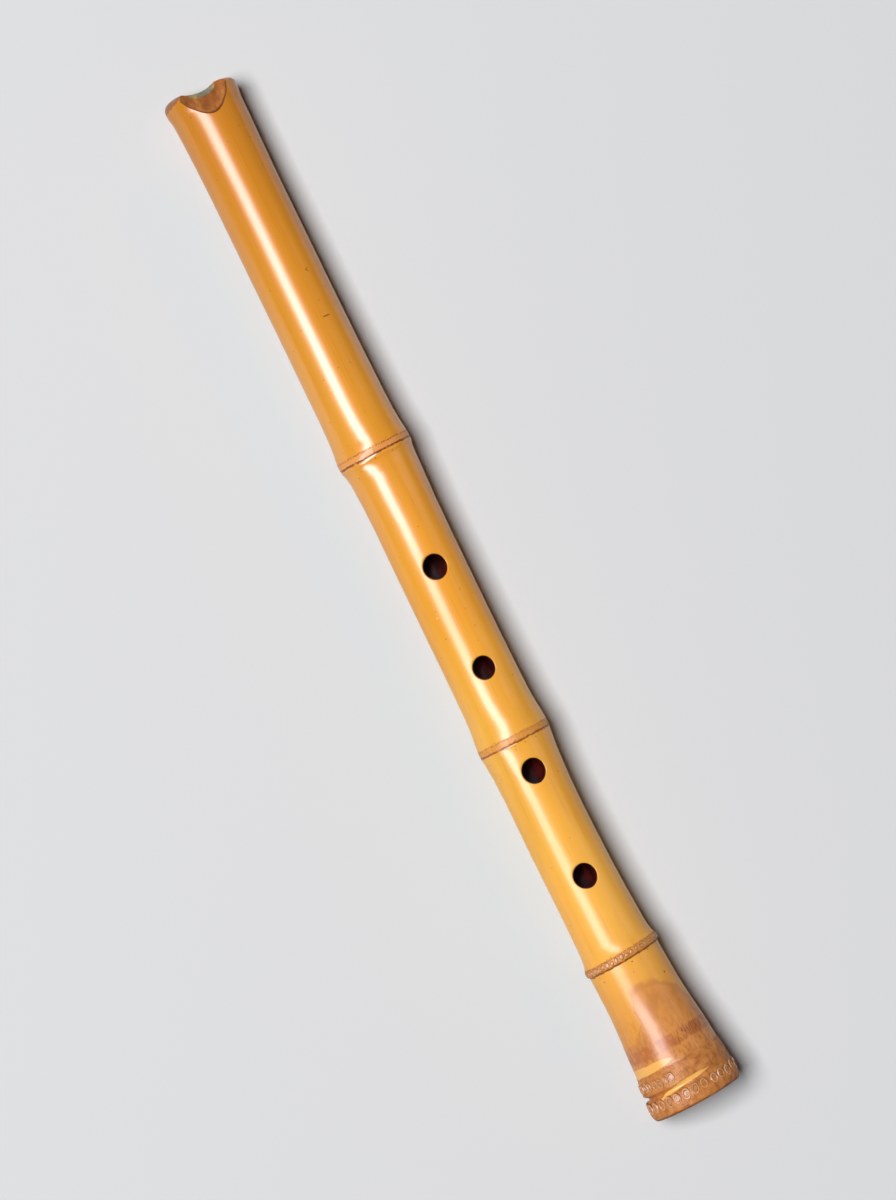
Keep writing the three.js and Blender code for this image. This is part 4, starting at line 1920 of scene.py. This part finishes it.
@dataclass
class Mouth:
    """The slanting cut of the blowing edge and the shallow arc filed into the edge."""

    form: Form
    cut_length: float = 0.0145
    cut_radius: float = 0.032
    turn_degrees: float = 3.5
    edge_dip: float = 0.0022
    half_breadth: float = 0.009
    overrun: float = 0.006
    cut_sides: int = 720
    arc_sides: int = 300

    def slope(self) -> Matrix:
        """Finds the cut's own frame: +Y up the slope, +Z out of the face, origin at the blowing edge.

        Returns:
            The matrix from that frame to the piece's own.
        """
        form = self.form
        side, height = (float(v) for v in form.middle(np.array(form.length)))
        bore = form.bore_at(form.length)
        front = form.radius_at(form.length - self.cut_length) * form.depth_share
        tilt = math.atan2(front - bore, self.cut_length - self.edge_dip)
        drawn = (
            Matrix.Translation((side, form.length - self.edge_dip, height))
            @ Matrix.Rotation(math.radians(self.turn_degrees), 4, "Y")
            @ Matrix.Translation((0, 0, bore))
            @ Matrix.Rotation(-tilt, 4, "X")
        )
        return Matrix.Translation(form.laid_at) @ Matrix.Rotation(-math.pi / 2, 4, "Z") @ drawn

    def arc(self) -> Object:
        """Models the round file that dips the edge between its horns.

        Returns:
            A body to take away.
        """
        form = self.form
        side, height = (float(v) for v in form.middle(np.array(form.length)))
        radius = (self.half_breadth**2 + self.edge_dip**2) / (2 * self.edge_dip)
        depth = form.half_breadth + self.overrun
        ahead, across, up = form.laid_at
        centre = (form.length - self.edge_dip + radius + ahead, across - side, height + up + depth / 2)
        return self._round_tool(self.arc_sides, radius, depth, Matrix.Translation(centre))

    def hollow(self, lift: float) -> Object:
        """Models what the slanting cut takes away: straight down the slope, round across it.

        Args:
            lift: How far above the cut the body stays.

        Returns:
            A body to take away.
        """
        depth = 2 * (self.cut_length + self.form.half_breadth)
        seat = Matrix.Translation((0, 0, self.cut_radius + lift)) @ Matrix.Rotation(math.pi / 2, 4, "X")
        return self._round_tool(self.cut_sides, self.cut_radius, depth, self.slope() @ seat)

    def _round_tool(self, sides: int, radius: float, depth: float, place: Matrix) -> Object:
        """Makes a cylinder whose faces leave bare bamboo where it cuts.

        Args:
            sides: How many sides it has.
            radius: Its radius.
            depth: Its length.
            place: Where it goes.

        Returns:
            The cylinder.
        """
        cylinder = bpy.ops.mesh.primitive_cylinder_add
        body = start(cylinder, vertices=sides, radius=radius, depth=depth)
        body.data.transform(place)
        return bare(body)

    def cut(self, piece: Object) -> None:
        """Cuts a closed piece along the slope, and files the arc into its edge."""
        combine(piece, self.hollow(0), "DIFFERENCE")
        combine(piece, self.arc(), "DIFFERENCE")


@dataclass
class Inlay:
    """The crescent of horn let into the blowing edge."""

    form: Form
    half_breadth: float = 0.007
    height: float = 0.003
    depth: float = 0.003
    arc_steps: int = 40
    squareness: float = 0.1
    proud: float = 0.00002
    air_sides: int = 192
    air_depth: float = 0.018
    crease_degrees: float = 30

    def body(self, margin: float) -> Object:
        """Models the crescent as a prism, reaching past the mouth and out of the slope.

        Args:
            margin: How much it is grown on all sides.

        Returns:
            The prism.
        """
        mouth = Mouth(self.form)
        circle = bpy.ops.mesh.primitive_circle_add
        crescent = start(circle, vertices=2 * self.arc_steps, radius=1, fill_type="NGON")
        x, y, _ = points_of(crescent).T
        past = self.form.rim_drop * np.abs(y) ** self.squareness
        down = np.where(y > TINY, past, y * (self.height + margin))
        foot = np.full_like(x, -self.depth - margin)
        move_points(crescent, np.stack([x * (self.half_breadth + margin), down, foot], axis=-1))
        with editing(crescent):
            bpy.ops.mesh.select_all(action="SELECT")
            extrude(self.depth + margin + mouth.overrun)
        crescent.data.transform(mouth.slope())
        return bare(crescent)

    def build(self) -> Object:
        """Models the inlay, trimmed to the mouth, the bore and the filed arc.

        Returns:
            The crescent.
        """
        form = self.form
        crescent = self.body(0)
        mouth = Mouth(form)
        end = Vector((form.length + form.laid_at[0], form.laid_at[1], 0))
        lean = float(form.lean.at(np.array(1.0)))
        with editing(crescent):
            bpy.ops.mesh.select_all(action="SELECT")
            bpy.ops.mesh.bisect(plane_co=end, plane_no=(1, lean, 0), use_fill=True, clear_outer=True)
        low, high = form.length - self.air_depth, form.length + mouth.overrun
        rings = [(form.mouth_bore, low), (form.mouth_bore, high)]
        air = bent(ring_body("air", rings, self.air_sides, hollow=False), form)
        for tool in (air, mouth.hollow(self.proud), mouth.arc()):
            combine(crescent, tool, "DIFFERENCE")
        mark_faces(crescent, Surface.SKIN, lambda face: True)
        dress(crescent, [HORN.build()])
        smooth(crescent, self.crease_degrees)
        crescent.name = "blowing_edge_crescent"
        return crescent


class StubForm(Enum):
    """How a root ends: its outline as radius and height, in shares of the oval and of the rise."""

    # A sawn root: its raised rim gets the painted highlight tone, and its foot and the dish's inner wall get
    # the painted shade tone.
    SAWN = (
        (1.0, -0.15, Surface.STUB_BARK_AND_SHADE), (0.93, 0.2, Surface.STUB_BARK_AND_SHADE), (0.87, 0.68, Surface.STUB_RIM_AND_HIGHLIGHT),
        (0.8, 1.0, Surface.STUB_RIM_AND_HIGHLIGHT), (0.7, 1.0, Surface.STUB_RIM_AND_HIGHLIGHT), (0.62, 0.72, Surface.STUB_RIM_AND_HIGHLIGHT),
        (0.55, 0.42, Surface.STUB_BARK_AND_SHADE), (0.4, 0.34, Surface.STUB_HEART), (0.24, 0.46, Surface.STUB_HEART),
        (0.1, 0.5, Surface.STUB_HEART),
    )
    # A knob: its top is painted as a pinkish highlight, and its foot as dark shade in the gaps between knobs.
    KNOB = (
        (1.0, -0.15, Surface.STUB_BARK_AND_SHADE), (0.94, 0.15, Surface.STUB_BARK_AND_SHADE), (0.82, 0.5, Surface.STUB_HEART),
        (0.62, 0.8, Surface.STUB_HEART), (0.38, 0.95, Surface.STUB_RIM_AND_HIGHLIGHT), (0.14, 1.0, Surface.STUB_RIM_AND_HIGHLIGHT),
    )


@dataclass(frozen=True)
class StubRing:
    """A ring of root stubs around the culm: where it is, the arc that it fills, and how they stray."""

    form: StubForm
    place_share: float
    count: int
    first_degrees: float
    from_degrees: float
    to_degrees: float
    half_breadth: float
    half_length: float
    rise: float
    least_share: float
    seed: int
    sides: int = 22
    root: float = 0.0012
    most_share: float = 1.08
    stray_degrees: float = 1.2
    stray: float = 0.0003
    rise_shares: Pair = (-0.25, 0.05)
    twist_degrees: float = 14

    def master(self) -> Object:
        """Models one root stub as an oval plug, one unit in half breadth, half length and rise.

        Returns:
            The plug.
        """
        stub = start(bpy.ops.mesh.primitive_circle_add, vertices=self.sides, radius=1, fill_type="NGON")
        dress(stub, blanks())
        with editing(stub):
            bpy.ops.mesh.select_all(action="SELECT")
            radius, height = 1.0, -self.root / self.rise
            bpy.ops.transform.translate(value=(0, 0, height))
            for next_radius, next_height, _ in self.form.value:
                extrude(next_height - height, next_radius / radius, (0, 0, next_height))
                radius, height = next_radius, next_height
        for face in stub.data.polygons:
            face.material_index = self._surface(face.center.xy.length / math.cos(math.pi / self.sides))
        point_outwards(stub)
        return stub

    def _surface(self, away: float) -> Surface:
        """Finds what shows on a stub. Each ring's surface reaches out to the ring before.

        Args:
            away: How far out a place is, as a share of the oval.

        Returns:
            The surface there.
        """
        for radius, _, surface in self.form.value:
            if radius < away:
                return surface
        return self.form.value[-1][2]

    def add_to(self, culm: Object, form: Form) -> None:
        """Sets the roots in the culm: every other one first, so that neighbours never overlap.

        Args:
            culm: The closed culm.
            form: Its form.
        """
        chance = random.Random(self.seed)
        master = self.master()
        halves: tuple[list[Object], list[Object]] = ([], [])
        for i in range(self.count):
            degrees = self.first_degrees + i * 360 / self.count
            if self.from_degrees <= degrees <= self.to_degrees:
                halves[i % 2].append(self._place(master, form, math.radians(degrees), chance))
        bpy.data.objects.remove(master)
        for stubs in halves:
            only(stubs[0])
            for stub in stubs:
                stub.select_set(True)
            bpy.ops.object.join()
            combine(culm, stubs[0], "UNION")

    def _place(self, master: Object, form: Form, angle: float, chance: random.Random) -> Object:
        """Turns one copy of the root to face outwards, a little unlike its neighbours.

        Args:
            master: The plug that is copied.
            form: The culm's form.
            angle: How far round the culm it is.
            chance: Where the random numbers come from.

        Returns:
            The copy, in its place.
        """
        stub = master.copy()
        stub.data = master.data.copy()
        bpy.context.collection.objects.link(stub)
        angle += math.radians(chance.uniform(-self.stray_degrees, self.stray_degrees))
        station = self.place_share * form.length + chance.uniform(-self.stray, self.stray)
        wide = self.half_breadth * chance.uniform(self.least_share, self.most_share)
        tall = self.half_length * chance.uniform(self.least_share, self.most_share)
        skin = float(form.skin(np.array([station]), np.array([angle]))[0])
        out = skin + self.rise * chance.uniform(*self.rise_shares)
        x, z = out * math.sin(angle), out * math.cos(angle) * form.depth_share
        place = form.carry(np.array(x), np.array(station), np.array(z))
        twist = math.radians(chance.uniform(-self.twist_degrees, self.twist_degrees))
        size = Matrix.Diagonal((tall, wide, self.rise, 1))
        upright = Matrix.Rotation(-angle, 4, "X").inverted_safe()
        turned = upright @ Matrix.Rotation(twist, 4, "Z")
        stub.data.transform(Matrix.Translation(place) @ turned @ size)
        return stub


ROOT_RINGS = (
    StubRing(StubForm.SAWN, 0.0128, 29, -4, -5, 356, 0.00212, 0.0031, 0.00047, 0.9, 3),
    StubRing(StubForm.SAWN, 0.0312, 40, 2.4, 112, 340, 0.0017, 0.0026, 0.0004, 0.84, 5),
    StubRing(StubForm.KNOB, LOWER_NODE.place_share, 42, 0, 0, 360, 0.0015, 0.0016, 0.00045, 0.62, 7),
)


@dataclass
class BoreCoat:
    """The thin lacquer tube of the bore, pierced under each hole."""

    form: Form
    thickness: float = 0.0005
    low: float = 0.0003
    top: float = 0.537
    sides: int = 96
    step: float = 0.009
    drill_depth: float = 0.014
    crease_degrees: float = 40

    def build(self) -> Object:
        """Models the tube.

        Returns:
            The tube.
        """
        form = self.form
        count = math.ceil((self.top - self.low) / self.step)
        heights = [self.low + (self.top - self.low) * i / count for i in range(count + 1)]
        outer = [(form.bore_at(height) + self.thickness, height) for height in heights]
        inner = [(radius - self.thickness, height) for radius, height in reversed(outer)]
        tube = bent(ring_body("bore_coat", [*outer, *inner, outer[0]], self.sides, hollow=True), form)
        for hole in HOLES:
            combine(tube, Collar(form, hole).drill(self.drill_depth), "DIFFERENCE")
        smooth(tube, self.crease_degrees)
        return tube


# The studio


class LampPart(Enum):
    """What a light does: it lights the surfaces, or it is what the polish mirrors."""

    LIGHTS = "lights"
    GLEAMS = "gleams"


@dataclass(frozen=True)
class Lamp:
    """A rectangular soft light: its tilt from overhead, its watts, how far ahead it hangs, its tint."""

    name: str
    tilt_degrees: float
    turn_degrees: float
    distance: float
    breadth: float
    length: float
    power: float
    part: LampPart
    ahead: float = 0.0
    tint: Triple = (1.0, 1.0, 1.0)


@dataclass(frozen=True)
class Studio:
    """A pale floor, one soft light, two gleams in the polish, a dim room and the camera over the flute."""

    roll_degrees: float = 8.0
    picture_degrees: float = 26.16
    aim: Triple = (-0.0025, 0.00166, 0.02)
    distance: float = 3.0
    seen_height: float = 0.5813
    sensor: float = 36.0
    floor_size: float = 14.0
    lamps: tuple[Lamp, ...] = (
        Lamp("streak_light", 30.0, -42.0, 2.4, 0.85, 3.4, 104.0, LampPart.GLEAMS, 0.0, (0.9, 0.88, 1.0)),
        Lamp("fill_gleam", -48.0, 0.0, 2.4, 1.2, 1.2, 3.0, LampPart.GLEAMS, -0.45),
        Lamp("shadow_light", 20.5, 0.0, 7.2, 2.6, 2.7, 576.0, LampPart.LIGHTS, 0.88),
    )
    room: float = 0.03
    backdrop: float = 0.7

    def build(self) -> None:
        """Sets the floor, the lights, the room and the camera."""
        self._floor()
        for lamp in self.lamps:
            self._light(lamp)
        self._room()
        self._camera()

    def _floor(self) -> None:
        """Lays the table, large enough to reach past every view."""
        floor = start(bpy.ops.mesh.primitive_plane_add, size=self.floor_size)
        floor.name = "floor"
        dress(floor, [PaleFloor().build()])

    def _light(self, lamp: Lamp) -> None:
        """Hangs one light above the flute and to one side, tilted back towards it.

        Args:
            lamp: The light.
        """
        tilt = math.radians(lamp.tilt_degrees)
        light = bpy.data.lights.new(lamp.name, "AREA")
        light.shape = "RECTANGLE"
        light.size, light.size_y = lamp.length, lamp.breadth
        light.energy = lamp.power
        light.color = lamp.tint
        holder = bpy.data.objects.new(lamp.name, light)
        turn = Matrix.Rotation(math.radians(lamp.turn_degrees), 4, "Z")
        holder.rotation_euler = (Matrix.Rotation(-tilt, 4, "X") @ turn).to_euler()
        holder.location = (lamp.ahead, lamp.distance * math.sin(tilt), lamp.distance * math.cos(tilt))
        holder.visible_glossy = lamp.part is LampPart.GLEAMS
        holder.visible_diffuse = lamp.part is LampPart.LIGHTS
        bpy.context.collection.objects.link(holder)

    def _room(self) -> None:
        """Makes the dim room, which the camera sees as a pale backdrop."""
        world = bpy.data.worlds.new("room")
        world.use_nodes = True
        nodes, links = world.node_tree.nodes, world.node_tree.links
        ground = nodes["Background"]
        ground.inputs["Color"].default_value = (1, 1, 1, 1)
        path = nodes.new("ShaderNodeLightPath")
        level = nodes.new("ShaderNodeMapRange")
        level.inputs["To Min"].default_value = self.room
        level.inputs["To Max"].default_value = self.backdrop
        links.new(path.outputs["Is Camera Ray"], level.inputs["Value"])
        links.new(level.outputs[0], ground.inputs["Strength"])
        bpy.context.scene.world = world

    def _camera(self) -> None:
        """Hangs the camera over the flute's front, turned so that the flute lies aslant."""
        roll, turn = math.radians(self.roll_degrees), math.radians(self.picture_degrees)
        towards = Vector((0, math.sin(roll), math.cos(roll)))
        along = Vector((1, 0, 0))
        across = Vector((0, -math.cos(roll), math.sin(roll)))
        right = along * -math.sin(turn) + across * math.cos(turn)
        up = along * math.cos(turn) + across * math.sin(turn)
        lens = bpy.data.cameras.new("camera")
        lens.sensor_fit = "VERTICAL"
        lens.sensor_height = self.sensor
        lens.lens = self.sensor * self.distance / self.seen_height
        holder = bpy.data.objects.new("camera", lens)
        axes = Matrix((right, up, towards)).transposed().to_4x4()
        holder.matrix_world = Matrix.Translation(Vector(self.aim) + towards * self.distance) @ axes
        bpy.context.collection.objects.link(holder)
        bpy.context.scene.camera = holder


@dataclass
class Flute:
    """The whole flute, in the order that its pieces are made."""

    form: Form = FORM

    def build(self) -> None:
        """Makes every piece, and says what each rides on and stands for."""
        self._keep(Culm(self.form).build(), "bamboo_culm")
        self._keep(Inlay(self.form).build(), "blowing_edge_inlay")
        lacquer = RED_LACQUER.build()
        coat = BoreCoat(self.form).build()
        dress(coat, [lacquer])
        self._keep(coat, "bore_lacquer")
        for hole in HOLES:
            wall = Collar(self.form, hole).body()
            dress(wall, [lacquer])
            self._keep(wall, hole.name)
        paste = BORE_PASTE.build()
        for name in ("lower_bore_paste", "middle_bore_paste", "upper_bore_paste"):
            dress(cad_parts[name], [paste])
            LOG.info("%s: finished with bore paste", name)

    def _keep(self, piece: Object, node: str) -> None:
        """Binds a finished piece to the frame and reports it.

        Args:
            piece: The piece.
            node: The solid that it stands for.
        """
        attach(piece, BODY)
        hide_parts(node)
        LOG.info("%s: %d faces, for %s", piece.name, len(piece.data.polygons), node)


def main() -> None:
    """Builds the flute and its studio."""
    logging.basicConfig(level=logging.INFO, format="%(name)s: %(message)s")
    settings = bpy.context.scene.view_settings
    settings.view_transform = "Standard"
    Studio().build()
    Flute().build()


if __name__ == "__main__":
    main()
